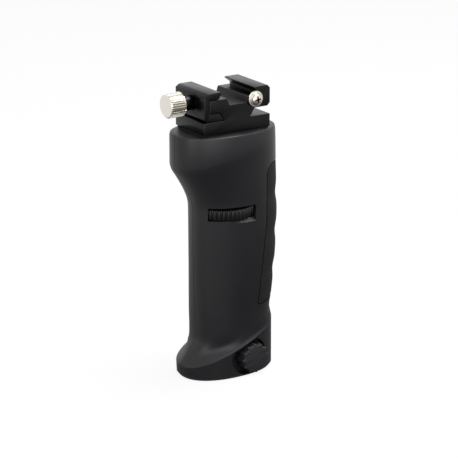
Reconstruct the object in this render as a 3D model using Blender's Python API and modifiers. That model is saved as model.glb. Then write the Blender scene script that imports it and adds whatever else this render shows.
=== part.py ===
"""Flash handle: a two-shell grip with a thumb wheel, a side lock knob and a rail clamp on top.

Metres, +Z up. The wheel's axis is X = Y = 0 and the handle stands on Z = 0.
+X is the finger side, -X the palm side, and -Y the side that carries the lock knob.
"""

import math

import bmesh
import bpy
from mathutils import Matrix, Vector

# Handle body
HANDLE_HEIGHT = 0.1196
HANDLE_REACH = 0.027
HANDLE_HALF_WIDTH = 0.01705
SECTION_POWER = 2.25
WALL = 0.0022
TOP_WALL = 0.0032
PARTING_GAP = 0.0003
OVERRUN = 0.004

# Clearances
ASSEMBLY_GAP = 0.0003
SEAT_GAP = 0.00005
RUNNING_FIT = 0.0001

# Handle stations from the foot up: height, slope of the section along X, reach to the back,
# reach to the front and half width. Heights are shares of HANDLE_HEIGHT, reaches of
# HANDLE_REACH and half widths of HANDLE_HALF_WIDTH.
FOOT_STATION_SHARES = (
    (0.0, 0.0, 0.838, 0.886, 0.862),
    (0.0117, 0.0, 0.878, 0.926, 0.927),
    (0.1263, 0.39, 0.885, 0.922, 0.927),
)
GRIP_STATION_SHARES = (
    (0.1355, 0.385, 0.871, 0.911, 0.892),
    (0.1522, 0.36, 0.811, 0.896, 0.860),
    (0.1697, 0.33, 0.678, 0.885, 0.847),
    (0.1856, 0.30, 0.598, 0.876, 0.844),
    (0.2090, 0.22, 0.586, 0.873, 0.847),
    (0.2508, 0.10, 0.596, 0.885, 0.856),
    (0.3094, 0.0, 0.604, 0.922, 0.868),
    (0.4682, 0.0, 0.618, 0.993, 0.886),
    (0.6522, 0.0, 0.620, 1.024, 0.900),
    (0.6940, 0.0, 0.623, 1.022, 0.903),
    (0.7232, 0.0, 0.648, 1.018, 0.906),
    (0.7567, 0.0, 0.709, 1.014, 0.915),
    (0.7985, 0.05, 0.789, 1.004, 0.932),
    (0.8487, 0.12, 0.885, 0.996, 0.956),
    (0.8946, 0.18, 0.968, 0.989, 0.985),
    (0.9164, 0.20, 0.986, 0.983, 1.0),
    (0.9883, 0.0, 0.984, 0.974, 1.0),
    (0.9967, 0.0, 0.974, 0.963, 0.982),
    (1.0, 0.0, 0.948, 0.937, 0.941),
)
RING_POINTS = 36
HOLLOW_RING_POINTS = 12

# Finger pad set into the front of the shells
PAD_THICKNESS = 0.0024
PAD_BACKING = 0.0022
PAD_EDGE_SHARE = 0.607
PAD_EDGE_FOOT_SHARE = 0.4185
PAD_TOP_SHARE = 0.8478
PAD_BEND_SHARE = 0.6304
PAD_FOOT_SHARE = 0.2843
PAD_FOOT_SLOPE = math.radians(10)
PAD_CORNER = 0.0042
PAD_FOOT_CORNER = 0.0016
GROOVE_DEPTH = 0.0008
GROOVE_SHARPNESS = 2
GROOVE_PITCH_SHARE = 0.1538
GROOVE_FOOT_SHARE = 0.4130
GROOVES_ABOVE_FOOT = 3
PAD_STEPS = 26

# Thumb wheel and its stud
WHEEL_HEIGHT_SHARE = 0.6768
WHEEL_THICKNESS = 0.0045
WHEEL_PROUD = 0.0002
WHEEL_CLEARANCE = 0.0004
WHEEL_RIBS = 44
WHEEL_RIB_SHARES = (0.42, 0.22)
WHEEL_RIB_DEPTH = 0.0008
WINDOW_BACK = 0.0139
WINDOW_FRONT = 0.0086
WINDOW_LIP = 0.0014
LOWER_WASHER = 0.0004
UPPER_WASHER = 0.0009
WASHER_RIM = 0.0030
WEB_THICKNESS = 0.0027
STUD_RADIUS = 0.003175
STUD_ENTRY = 0.0060
STUD_TIP_CHAMFER = 0.0006
BUSH_WALL = 0.0018
BUSH_LENGTH = 0.0090
BUSH_FLANGE = 0.0012
BUSH_FLANGE_RIM = 0.0018
BOSS_WALL = 0.0016

# Pin socket and lock screw in the foot
FOOT_PLATE = 0.0030
FOOT_RIM = 0.0032
SOCKET_PLACE = 0.0077
SOCKET_RADIUS = 0.0050
SOCKET_WALL = 0.0020
SOCKET_DEPTH = 0.0320
LOCK_HEIGHT = 0.0084
LOCK_KNOB_RADIUS = 0.0073
LOCK_KNOB_THICKNESS = 0.0062
LOCK_KNOB_LOBES = 12
LOCK_LOBE_SHARES = (0.66, 0.14)
LOCK_KNOB_NOTCH = 0.0009
LOCK_KNOB_CHAMFER = 0.0006
LOCK_RECESS_RADIUS = 0.0104
LOCK_RECESS_SHIFT = 0.00245
LOCK_RECESS_WALL = 0.0014
LOCK_RECESS_FLOOR = 0.0100
LOCK_RECESS_LIP = 0.0007
LOCK_KNOB_STANDOFF = 0.00085
LOCK_SCREW_RADIUS = 0.0030
LOCK_INSERT_WALL = 0.0013
LOCK_PAD_RADIUS = 0.0026
LOCK_PAD_THICKNESS = 0.0014
LOCK_SCREW_GRIP = 0.0040
CREASE_LIP = 0.0006

# Rail clamp, whose heights are measured from its own underside
PAD_SHEET = 0.0004
SHEET_INSET = 0.0006
CLAMP_HALF_WIDTH = 0.0180
CLAMP_LENGTH = 0.0250
CLAMP_PLATE = 0.00625
CLAMP_PLATE_CHAMFER = 0.0007
TONGUE_FOOT = 0.0104
FIXED_JAW_FOOT = 0.0101
NECK_LOW = 0.00705
NECK_HIGH = 0.00955
JAW_WALL = 0.0031
RAIL_SEAT = 0.0165
CHANNEL_FLOOR = 0.01335
CHANNEL_TOP = 0.00575
FIXED_SEAT = 0.0161
FIXED_CHANNEL_TOP = 0.0053
CHANNEL_FOOT = 0.00435
JAW_TOP = 0.0200
LIP_TIP = 0.0090
LIP_ROOT = 0.0119
LIP_EDGE = 0.0005
LIP_ROOT_RISE = 0.0007
JAW_LIP_TIP = 0.0087
JAW_LIP_ROOT = 0.01015
JAW_CORNER_WIDTH = 0.0020
JAW_CORNER_DROP = 0.0012
FIXED_JAW_CHAMFER = 0.0014
JAW_FOOT_CHAMFER = 0.0014
JAW_CLEARANCE = 0.0002
CLAMP_EDGE = 0.00018

# Clamp screw and its knob
CLAMP_SCREW_HEIGHT = 0.0138
CLAMP_SCREW_RADIUS = 0.0020
CLAMP_SCREW_GRIP = 0.0080
SPACER_LENGTH = 0.0048
SPACER_RADIUS = 0.0035
KNOB_RADIUS = 0.0058
KNOB_LENGTH = 0.0081
KNOB_TEETH = 32
KNOB_TOOTH_SHARES = (0.2, 0.2)
KNOB_TOOTH_DEPTH = 0.0004
KNOB_CHAMFER = 0.0006

# Rail stop screw
STOP_PLACE = 0.0096
STOP_HEIGHT = 0.0144
STOP_SCREW_RADIUS = 0.0015
STOP_SCREW_LENGTH = 0.0080
STOP_HEAD_RADIUS = 0.0031
STOP_HEAD_HEIGHT = 0.0019
STOP_WASHER_RADIUS = 0.0038
STOP_WASHER_THICKNESS = 0.0008
STOP_CROSS_REACH = 0.0018
STOP_CROSS_WIDTH = 0.0007
STOP_CROSS_DEPTH = 0.0011

# Dowels, shell screws and foot screws
DOWEL_PLACE = 0.0115
DOWEL_RADIUS = 0.0015
DOWEL_LENGTH = 0.0072
DOWEL_ENTRY = 0.0036
SHELL_SCREW_RADIUS = 0.0014
SHELL_SCREW_HEAD = 0.0027
SHELL_SCREW_HEAD_HEIGHT = 0.0017
SHELL_SCREW_SEAT = 0.0098
SHELL_SCREW_LENGTH = 0.0180
SHELL_BOSS_RADIUS = 0.0043
SHELL_SCREW_PLACE_SHARES = (
    (-0.52, 0.905),
    (0.52, 0.905),
    (-0.31, 0.520),
    (0.19, 0.360),
    (-0.40, 0.118),
)
FOOT_SCREW_RADIUS = 0.0013
FOOT_SCREW_HEAD = 0.0024
FOOT_SCREW_HEAD_HEIGHT = 0.0013
FOOT_SCREW_LENGTH = 0.0085
FOOT_BOSS_HEIGHT = 0.0160
FOOT_SCREW_PLACE_SHARES = ((-0.575, -0.25), (-0.575, 0.25), (0.635, 0.29))

# A pan head's outline, from the middle of its dome out and down to its underside
PAN_HEAD_SHARES = ((0, 1), (0.55, 0.93), (0.85, 0.66), (1, 0.25), (1, 0))

FINE_SEGMENTS = 34
SEGMENTS = 20
SMALL_SEGMENTS = 10
MERGE = 0.00001
SMOOTH_ANGLE = math.radians(30)
FLAT_ANGLE = math.radians(1)

# Colour, roughness and metallic value of each finish
MOULDED_BLACK = ((0.025, 0.025, 0.027), 0.45, 0.0)
SOFT_RUBBER = ((0.034, 0.034, 0.033), 0.75, 0.0)
BLACK_ANODISED = ((0.020, 0.020, 0.021), 0.38, 0.85)
NICKEL_PLATED = ((0.78, 0.76, 0.72), 0.25, 1.0)
STEEL = ((0.55, 0.55, 0.56), 0.35, 1.0)
BRASS = ((0.72, 0.55, 0.26), 0.30, 1.0)
NYLON = ((0.75, 0.73, 0.66), 0.55, 0.0)

TURN = {
    "XY": Matrix.Identity(4),
    "XZ": Matrix.Rotation(math.radians(90), 4, "X"),
    "YZ": Matrix(((0, 0, 1, 0), (1, 0, 0, 0), (0, 1, 0, 0), (0, 0, 0, 1))),
}
AIM = {
    "+Z": Matrix.Identity(4),
    "-Z": Matrix.Rotation(math.radians(180), 4, "X"),
    "+X": Matrix.Rotation(math.radians(90), 4, "Y"),
    "-X": Matrix.Rotation(math.radians(-90), 4, "Y"),
    "+Y": Matrix.Rotation(math.radians(-90), 4, "X"),
    "-Y": Matrix.Rotation(math.radians(90), 4, "X"),
}

for old in list(bpy.data.objects):
    bpy.data.objects.remove(old, do_unlink=True)

parts = bpy.data.collections.new("flash_handle")
cutters = bpy.data.collections.new("cutters")
for group in (parts, cutters):
    bpy.context.scene.collection.children.link(group)
cutters.hide_render = True


# Helpers that make and join shapes


def as_part(obj, name, finish):
    """Names an object, puts it among the parts and gives it a material of its own."""
    obj.name = name
    obj.data.name = name
    for group in list(obj.users_collection):
        group.objects.unlink(obj)
    parts.objects.link(obj)
    obj.hide_render = False
    obj.display_type = "TEXTURED"
    colour, roughness, metallic = finish
    material = bpy.data.materials.new(name + "_finish")
    material.use_nodes = True
    shader = material.node_tree.nodes["Principled BSDF"]
    shader.inputs["Base Color"].default_value = (*colour, 1)
    shader.inputs["Roughness"].default_value = roughness
    shader.inputs["Metallic"].default_value = metallic
    material.diffuse_color = (*colour, 1)
    obj.data.materials.clear()
    obj.data.materials.append(material)
    obj.data.shade_smooth()
    obj.data.set_sharp_from_angle(angle=SMOOTH_ANGLE)
    return obj


def as_cutter(name, mesh, matrix=None):
    """A helper object that only cuts or joins, hidden from the render."""
    obj = bpy.data.objects.new(name, mesh)
    obj.matrix_world = matrix or Matrix.Identity(4)
    cutters.objects.link(obj)
    obj.hide_render = True
    obj.display_type = "WIRE"
    return obj


def combine(obj, operation, *others):
    """Adds one exact Boolean for each other object."""
    for other in others:
        modifier = obj.modifiers.new(f"{operation.lower()} {other.name}", "BOOLEAN")
        modifier.operation = operation
        modifier.solver = "EXACT"
        modifier.object = other
    return obj


def mesh_from(name, bm):
    """The mesh of a bmesh, with its faces turned outwards."""
    bmesh.ops.recalc_face_normals(bm, faces=bm.faces)
    mesh = bpy.data.meshes.new(name)
    bm.to_mesh(mesh)
    bm.free()
    return mesh


def block(name, low, high):
    """A box between two corners."""
    low, high = Vector(low), Vector(high)
    bm = bmesh.new()
    bmesh.ops.create_cube(bm, size=1)
    size = high - low
    bmesh.ops.scale(bm, vec=size, verts=bm.verts)
    bmesh.ops.translate(bm, vec=(low + high) / 2, verts=bm.verts)
    return as_cutter(name, mesh_from(name, bm))


def rod(name, radius, start, end, segments=SEGMENTS):
    """A round rod between two points."""
    start, end = Vector(start), Vector(end)
    run = end - start
    bm = bmesh.new()
    bmesh.ops.create_cone(
        bm, cap_ends=True, segments=segments, radius1=radius, radius2=radius, depth=run.length
    )
    turn = Vector((0, 0, 1)).rotation_difference(run).to_matrix().to_4x4()
    bmesh.ops.transform(bm, matrix=Matrix.Translation((start + end) / 2) @ turn, verts=bm.verts)
    return as_cutter(name, mesh_from(name, bm))


def turned(name, profile, place, aim="+Z", segments=SEGMENTS, ring=False):
    """A profile of (radius, height) points turned about the axis that starts at place."""
    mesh = bpy.data.meshes.new(name)
    count = len(profile)
    edges = [(k, k + 1) for k in range(count - 1)] + ([(count - 1, 0)] if ring else [])
    mesh.from_pydata([(radius, 0, height) for radius, height in profile], edges, [])
    obj = as_cutter(name, mesh, Matrix.Translation(place) @ AIM[aim])
    screw = obj.modifiers.new("turn", "SCREW")
    screw.axis = "Z"
    screw.steps = screw.render_steps = segments
    screw.use_merge_vertices = True
    screw.merge_threshold = MERGE
    screw.use_smooth_shade = True
    return obj


def extruded(name, outline, thickness, middle, plane="XZ"):
    """A flat outline given its thickness, as a mesh with welded caps."""
    curve = bpy.data.curves.new(name, "CURVE")
    curve.dimensions = "2D"
    curve.fill_mode = "BOTH"
    curve.extrude = thickness / 2
    spline = curve.splines.new("POLY")
    spline.points.add(len(outline) - 1)
    for point, (across, up) in zip(spline.points, outline):
        point.co = (across, up, 0, 1)
    spline.use_cyclic_u = True
    flat = bpy.data.objects.new(name, curve)
    cutters.objects.link(flat)
    flat.matrix_world = Matrix.Translation(middle) @ TURN[plane]
    bpy.context.view_layer.update()
    seen = flat.evaluated_get(bpy.context.evaluated_depsgraph_get())
    bm = bmesh.new()
    bm.from_mesh(bpy.data.meshes.new_from_object(seen))
    bmesh.ops.remove_doubles(bm, verts=bm.verts, dist=MERGE)
    bmesh.ops.dissolve_limit(bm, angle_limit=FLAT_ANGLE, verts=bm.verts, edges=bm.edges)
    obj = as_cutter(name + " solid", mesh_from(name, bm), flat.matrix_world.copy())
    bpy.data.objects.remove(flat)
    return obj


def loft(name, rings):
    """A closed skin through rings of equal count, capped at both ends."""
    bm = bmesh.new()
    rows = [[bm.verts.new(point) for point in ring] for ring in rings]
    count = len(rows[0])
    for low, high in zip(rows, rows[1:]):
        for k in range(count):
            after = (k + 1) % count
            bm.faces.new((low[k], low[after], high[after], high[k]))
    bmesh.ops.triangulate(bm, faces=bm.faces)
    bm.faces.new(rows[0][::-1])
    bm.faces.new(rows[-1])
    return as_cutter(name, mesh_from(name, bm))


def bevelled(obj, width, segments=1):
    """Breaks the sharp edges of an object."""
    bevel = obj.modifiers.new("edges", "BEVEL")
    bevel.width = width
    bevel.segments = segments
    bevel.limit_method = "ANGLE"
    bevel.angle_limit = SMOOTH_ANGLE
    return obj


def joint_empty(name, place, *pieces):
    """An empty on a joint's axis that carries the pieces that move with it."""
    empty = bpy.data.objects.new(name, None)
    empty.empty_display_size = KNOB_RADIUS
    empty.location = place
    parts.objects.link(empty)
    bpy.context.view_layer.update()
    for piece in pieces:
        piece.parent = empty
        piece.matrix_parent_inverse = empty.matrix_world.inverted()
    return empty


def toothed(radius, depth, count, tip_share, root_share):
    """An outline of equal teeth: each has a flat tip and a flat root, with slanted sides."""
    slope_share = (1 - tip_share - root_share) / 2
    steps = (
        (0, radius),
        (tip_share, radius),
        (tip_share + slope_share, radius - depth),
        (tip_share + slope_share + root_share, radius - depth),
    )
    outline = []
    for tooth in range(count):
        for share, reach in steps:
            angle = math.tau * (tooth + share) / count
            outline.append((reach * math.cos(angle), reach * math.sin(angle)))
    return outline


def chamfered_knob(knob, radius, chamfer, back, front, place, aim):
    """Takes the edge off the front of a toothed knob."""
    full = radius + chamfer
    fall = 2 * chamfer
    profile = (
        (0, front + fall),
        (full - 2 * fall, front + fall),
        (full, front - fall),
        (full, back - OVERRUN),
        (0, back - OVERRUN),
    )
    combine(knob, "INTERSECT", turned("knob envelope", profile, place, aim, FINE_SEGMENTS))


def arc(centre, radius, first, last, steps=6):
    """Points on an arc, with its angles in degrees."""
    angles = [math.radians(first + (last - first) * k / steps) for k in range(steps + 1)]
    return [(centre[0] + radius * math.cos(a), centre[1] + radius * math.sin(a)) for a in angles]


def pan_screw(name, place, aim, head, head_height, shank, length):
    """A screw with a domed head whose underside is at place and whose shank runs the other way."""
    profile = (
        *((across * head, up * head_height) for across, up in PAN_HEAD_SHARES),
        (shank, 0),
        (shank, -length),
        (0, -length),
    )
    return turned(name, profile, place, aim, SMALL_SEGMENTS)


# The handle's form


class Station:
    """One section of the handle: an oval in a plane that slopes along X."""

    def __init__(self, height, slope, back, front, half_width):
        self.height = height
        self.slope = slope
        self.back = back
        self.front = front
        self.half_width = half_width

    def ring(self, count, inset=0, front_inset=None):
        """The oval's points, drawn in by inset, and at the front by front_inset if it is given."""
        front = self.front - (inset if front_inset is None else front_inset)
        back = self.back - inset
        reach, centre = (front + back) / 2, (front - back) / 2
        power = 2 / SECTION_POWER
        points = []
        for k in range(count):
            u, v = math.cos(math.tau * k / count), math.sin(math.tau * k / count)
            x = centre + reach * math.copysign(abs(u) ** power, u)
            y = (self.half_width - inset) * math.copysign(abs(v) ** power, v)
            points.append((x, y, self.height + self.slope * x))
        return points

    def side_reach(self, x):
        """How far the oval reaches along Y at x."""
        reach, centre = (self.front + self.back) / 2, (self.front - self.back) / 2
        share = min(abs((x - centre) / reach), 1)
        return self.half_width * (1 - share**SECTION_POWER) ** (1 / SECTION_POWER)


def stations_from(shares):
    """The stations that a table of shares gives."""
    return [
        Station(
            height * HANDLE_HEIGHT,
            slope,
            back * HANDLE_REACH,
            front * HANDLE_REACH,
            width * HANDLE_HALF_WIDTH,
        )
        for height, slope, back, front, width in shares
    ]


FOOT_STATIONS = stations_from(FOOT_STATION_SHARES)
STATIONS = FOOT_STATIONS + stations_from(GRIP_STATION_SHARES)
FOOT_CREASE = FOOT_STATIONS[-1]
FULL_FOOT = FOOT_STATIONS[-2]


def station_at(height):
    """The section between the two stations around a height."""
    above = next((k for k, s in enumerate(STATIONS) if s.height >= height), len(STATIONS) - 1)
    high, low = STATIONS[above], STATIONS[max(above - 1, 0)]
    run = high.height - low.height
    share = (height - low.height) / run if run else 0
    values = [
        getattr(low, name) + share * (getattr(high, name) - getattr(low, name))
        for name in ("slope", "back", "front", "half_width")
    ]
    return Station(height, *values)


def handle_form(name, inset=0):
    """The whole handle's outer form, or the same drawn in."""
    return loft(name, [station.ring(RING_POINTS, inset) for station in STATIONS])


def hollow_form(name):
    """The handle's form drawn in by its wall, through every second station."""
    front = PAD_THICKNESS + PAD_BACKING
    rings = [station.ring(HOLLOW_RING_POINTS, WALL, front) for station in STATIONS[::2]]
    return loft(name, rings)


def everything(name, low, high):
    """A slab across the whole handle between two heights."""
    wide = 2 * HANDLE_REACH
    return block(name, (-wide, -wide, low), (wide, wide, high))


# Places worked out from the sizes above
PAD_EDGE = PAD_EDGE_SHARE * HANDLE_REACH
PAD_EDGE_FOOT = PAD_EDGE_FOOT_SHARE * HANDLE_REACH
PAD_TOP = PAD_TOP_SHARE * HANDLE_HEIGHT
PAD_BEND = PAD_BEND_SHARE * HANDLE_HEIGHT
PAD_FOOT = PAD_FOOT_SHARE * HANDLE_HEIGHT
GROOVE_PITCH = GROOVE_PITCH_SHARE * HANDLE_HEIGHT
GROOVE_FOOT = GROOVE_FOOT_SHARE * HANDLE_HEIGHT
WHEEL_MIDDLE = WHEEL_HEIGHT_SHARE * HANDLE_HEIGHT
WHEEL_FOOT = WHEEL_MIDDLE - WHEEL_THICKNESS / 2
WHEEL_TOP = WHEEL_MIDDLE + WHEEL_THICKNESS / 2
WHEEL_RADIUS = station_at(WHEEL_MIDDLE).side_reach(0) + WHEEL_PROUD
CHAMBER_FOOT = WHEEL_FOOT - LOWER_WASHER - 2 * SEAT_GAP
CHAMBER_TOP = WHEEL_TOP + UPPER_WASHER + SEAT_GAP + ASSEMBLY_GAP
LOWER_WEB_FOOT = CHAMBER_FOOT - WEB_THICKNESS
UPPER_WEB_TOP = CHAMBER_TOP + WEB_THICKNESS
ROOF = HANDLE_HEIGHT - TOP_WALL
STUD_BORE = STUD_RADIUS + RUNNING_FIT
BUSH_RADIUS = STUD_BORE + BUSH_WALL
TONGUE_REACH = CLAMP_HALF_WIDTH - JAW_WALL
SHEET_FOOT = HANDLE_HEIGHT + SEAT_GAP
CLAMP_FOOT = SHEET_FOOT + PAD_SHEET + SEAT_GAP
SOCKET_OUTSIDE = SOCKET_RADIUS + SOCKET_WALL
CAVITY_FOOT = FOOT_PLATE + SEAT_GAP
LOCK_KNOB_BACK = -LOCK_RECESS_FLOOR - LOCK_KNOB_STANDOFF
LOCK_KNOB_FRONT = LOCK_KNOB_BACK - LOCK_KNOB_THICKNESS
LOCK_SCREW_BORE = LOCK_SCREW_RADIUS + RUNNING_FIT
LOCK_INSERT_RADIUS = LOCK_SCREW_BORE + LOCK_INSERT_WALL
SHELL_SCREW_PLACES = [(x * HANDLE_REACH, z * HANDLE_HEIGHT) for x, z in SHELL_SCREW_PLACE_SHARES]
FOOT_SCREW_PLACES = [
    (x * HANDLE_REACH, y * HANDLE_HALF_WIDTH) for x, y in FOOT_SCREW_PLACE_SHARES
]


def crossing_rod(name, radius, place):
    """A rod along Y through the whole handle at an (x, z) place."""
    wide = HANDLE_HALF_WIDTH + OVERRUN
    start, end = (place[0], -wide, place[1]), (place[0], wide, place[1])
    return rod(name, radius, start, end, SMALL_SEGMENTS)


def recess_rod(name, radius, depth, back=0):
    """A rod on the lock screw's axis, or some way back of it, from outside the handle in to a depth."""
    outside = -HANDLE_HALF_WIDTH - OVERRUN
    place = SOCKET_PLACE - back
    return rod(name, radius, (place, outside, LOCK_HEIGHT), (place, -depth, LOCK_HEIGHT), FINE_SEGMENTS)


def lock_pocket(name, grow=0):
    """The solid ground about the lock knob's recess, or the same let out by grow."""
    depth = LOCK_RECESS_FLOOR - LOCK_RECESS_WALL - grow
    return recess_rod(name, LOCK_RECESS_RADIUS + LOCK_RECESS_WALL + grow, depth, LOCK_RECESS_SHIFT)


def lower_cavity():
    """The hollow below the wheel, with the bosses, the socket's web and the lock recess left solid."""
    hollow = hollow_form("lower hollow")
    combine(hollow, "INTERSECT", everything("lower hollow range", CAVITY_FOOT, LOWER_WEB_FOOT))
    kept = [
        crossing_rod(f"kept boss {k}", SHELL_BOSS_RADIUS, place)
        for k, place in enumerate(SHELL_SCREW_PLACES)
        if place[1] < LOWER_WEB_FOOT
    ]
    kept += [
        rod(
            f"kept foot boss {k}",
            FOOT_SCREW_RADIUS + BOSS_WALL,
            (x, y, CAVITY_FOOT - OVERRUN),
            (x, y, FOOT_BOSS_HEIGHT),
            SMALL_SEGMENTS,
        )
        for k, (x, y) in enumerate(FOOT_SCREW_PLACES)
    ]
    kept.append(everything("kept socket web", SOCKET_DEPTH - WEB_THICKNESS, SOCKET_DEPTH))
    kept.append(lock_pocket("kept lock pocket"))
    kept.append(
        recess_rod("kept insert boss", LOCK_INSERT_RADIUS + BOSS_WALL, SOCKET_OUTSIDE + ASSEMBLY_GAP)
    )
    return combine(hollow, "DIFFERENCE", *kept)


def upper_cavity():
    """The hollow above the wheel, with the bosses for the screws, the bush and the dowels."""
    hollow = hollow_form("upper hollow")
    combine(hollow, "INTERSECT", everything("upper hollow range", UPPER_WEB_TOP, ROOF))
    kept = [
        crossing_rod(f"kept head boss {k}", SHELL_BOSS_RADIUS, place)
        for k, place in enumerate(SHELL_SCREW_PLACES)
        if place[1] > UPPER_WEB_TOP
    ]
    roof = ROOF + OVERRUN
    bush_foot = HANDLE_HEIGHT - BUSH_LENGTH
    kept.append(rod("kept bush boss", BUSH_RADIUS + BOSS_WALL, (0, 0, bush_foot), (0, 0, roof)))
    dowel_foot = CLAMP_FOOT + DOWEL_ENTRY - DOWEL_LENGTH
    for side in (-1, 1):
        kept.append(
            rod(
                f"kept dowel boss {side}",
                DOWEL_RADIUS + BOSS_WALL,
                (side * DOWEL_PLACE, 0, dowel_foot - BOSS_WALL),
                (side * DOWEL_PLACE, 0, roof),
                SMALL_SEGMENTS,
            )
        )
    return combine(hollow, "DIFFERENCE", *kept)


def pad_outline(grow):
    """The finger pad's edge in side view, as (x, z) points, let out by grow."""
    far = 2 * HANDLE_REACH
    corner = (PAD_EDGE + PAD_CORNER, PAD_TOP - PAD_CORNER)
    foot = (PAD_EDGE_FOOT + PAD_FOOT_CORNER, PAD_FOOT + PAD_FOOT_CORNER)
    foot_turn = 270 + math.degrees(PAD_FOOT_SLOPE)
    outline = [(far, PAD_TOP + grow)]
    outline += arc(corner, PAD_CORNER + grow, 90, 180)
    outline.append((PAD_EDGE - grow, PAD_BEND))
    outline += arc(foot, PAD_FOOT_CORNER + grow, 180, foot_turn)
    last = outline[-1]
    outline.append((far, last[1] + math.tan(PAD_FOOT_SLOPE) * (far - last[0])))
    return outline


def pad_prism(name, grow):
    """The finger pad's outline carried right through the handle along Y."""
    width = 2 * (HANDLE_HALF_WIDTH + OVERRUN)
    return extruded(name, pad_outline(grow), width, (0, 0, 0))


def pad_recess():
    """What the shells lose where the finger pad lies in them."""
    recess = pad_prism("pad recess", ASSEMBLY_GAP / 2)
    backing = handle_form("pad seat", PAD_THICKNESS + ASSEMBLY_GAP)
    return combine(recess, "DIFFERENCE", backing)


def lock_recess():
    """The round recess about the lock knob, cut off under the foot's crease and over its rim."""
    recess = recess_rod("lock recess", LOCK_RECESS_RADIUS, LOCK_RECESS_FLOOR, LOCK_RECESS_SHIFT)
    wide = 2 * HANDLE_REACH
    shade = block("over the crease", (-wide, -wide, 0), (wide, 0, wide))
    tilt = Matrix.Rotation(-math.atan(FOOT_CREASE.slope), 4, "Y")
    shade.matrix_world = Matrix.Translation((0, 0, FOOT_CREASE.height - CREASE_LIP)) @ tilt
    rim = block("under the rim", (-wide, -wide, -wide), (wide, 0, LOCK_RECESS_LIP))
    return combine(recess, "DIFFERENCE", shade, rim)


def wheel_openings():
    """The wheel's round chamber and the window that shows it on both sides."""
    chamber = rod(
        "wheel chamber",
        WHEEL_RADIUS + WHEEL_CLEARANCE,
        (0, 0, CHAMBER_FOOT),
        (0, 0, CHAMBER_TOP),
        FINE_SEGMENTS,
    )
    wide = HANDLE_HALF_WIDTH + OVERRUN
    window = block(
        "wheel window",
        (-WINDOW_BACK, -wide, CHAMBER_FOOT - SEAT_GAP),
        (WINDOW_FRONT, wide, CHAMBER_TOP + SEAT_GAP),
    )
    core = rod(
        "window core",
        WHEEL_RADIUS - WALL,
        (0, 0, CHAMBER_FOOT - OVERRUN),
        (0, 0, CHAMBER_TOP + OVERRUN),
        FINE_SEGMENTS,
    )
    combine(window, "DIFFERENCE", core)
    return chamber, window


def window_scoop(side):
    """A slanted cut that eases the window's lower edge, where a thumb reaches the wheel."""
    station = station_at(CHAMBER_FOOT)
    edge = station.side_reach(0)
    outline = (
        (side * (edge + OVERRUN), CHAMBER_FOOT - OVERRUN - WINDOW_LIP),
        (side * (edge + OVERRUN), CHAMBER_FOOT + WINDOW_LIP),
        (side * (edge - WINDOW_LIP), CHAMBER_FOOT + SEAT_GAP),
    )
    width = WINDOW_BACK + WINDOW_FRONT
    middle = ((WINDOW_FRONT - WINDOW_BACK) / 2, 0, 0)
    return extruded(f"window scoop {side}", outline, width, middle, "YZ")


def bores():
    """Round holes shared by both shells: for the stud, its bushes, the dowels and the socket."""
    flange_foot = HANDLE_HEIGHT - BUSH_FLANGE - SEAT_GAP
    top = HANDLE_HEIGHT + OVERRUN
    web_low = LOWER_WEB_FOOT - OVERRUN
    dowel_foot = CLAMP_FOOT + DOWEL_ENTRY - DOWEL_LENGTH - SEAT_GAP
    found = [
        rod("top bush bore", BUSH_RADIUS + RUNNING_FIT, (0, 0, ROOF - BUSH_LENGTH), (0, 0, top)),
        rod(
            "bush flange bore",
            BUSH_RADIUS + BUSH_FLANGE_RIM + RUNNING_FIT,
            (0, 0, flange_foot),
            (0, 0, top),
        ),
        rod("upper web bore", STUD_BORE + RUNNING_FIT, (0, 0, WHEEL_TOP), (0, 0, UPPER_WEB_TOP + OVERRUN)),
        rod("lower bush bore", BUSH_RADIUS + RUNNING_FIT, (0, 0, web_low), (0, 0, WHEEL_MIDDLE)),
        rod(
            "socket bore",
            SOCKET_OUTSIDE + ASSEMBLY_GAP,
            (SOCKET_PLACE, 0, -OVERRUN),
            (SOCKET_PLACE, 0, SOCKET_DEPTH + SOCKET_WALL + ASSEMBLY_GAP),
            FINE_SEGMENTS,
        ),
        recess_rod("insert bore", LOCK_INSERT_RADIUS + RUNNING_FIT, SOCKET_RADIUS),
    ]
    for side in (-1, 1):
        start = (side * DOWEL_PLACE, 0, dowel_foot)
        end = (side * DOWEL_PLACE, 0, top)
        found.append(rod(f"dowel bore {side}", DOWEL_RADIUS + RUNNING_FIT, start, end, SMALL_SEGMENTS))
    for k, (x, y) in enumerate(FOOT_SCREW_PLACES):
        found.append(
            rod(
                f"foot screw bore {k}",
                FOOT_SCREW_RADIUS + RUNNING_FIT,
                (x, y, -OVERRUN),
                (x, y, FOOT_SCREW_LENGTH + ASSEMBLY_GAP),
                SMALL_SEGMENTS,
            )
        )
    return found


def foot_opening(name, inset, low, high):
    """The oval space that the foot plate closes, or the plate itself."""
    flat = [(x, y) for x, y, _ in FULL_FOOT.ring(RING_POINTS, inset)]
    return loft(name, [[(x, y, low) for x, y in flat], [(x, y, high) for x, y in flat]])


def screw_holes(side):
    """The shell screws' holes: with a sunk seat for the head on the far side, blind on the near one."""
    found = []
    tip = SHELL_SCREW_SEAT - SHELL_SCREW_LENGTH - ASSEMBLY_GAP
    far = HANDLE_HALF_WIDTH + OVERRUN
    radius = SHELL_SCREW_RADIUS + RUNNING_FIT
    head = SHELL_SCREW_HEAD + ASSEMBLY_GAP
    for k, (x, z) in enumerate(SHELL_SCREW_PLACES):
        found.append(rod(f"screw hole {side} {k}", radius, (x, tip, z), (x, far, z), SMALL_SEGMENTS))
        if side > 0:
            seat = (x, SHELL_SCREW_SEAT - SEAT_GAP, z)
            found.append(rod(f"head seat {k}", head, seat, (x, far, z), SMALL_SEGMENTS))
    return found


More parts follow.
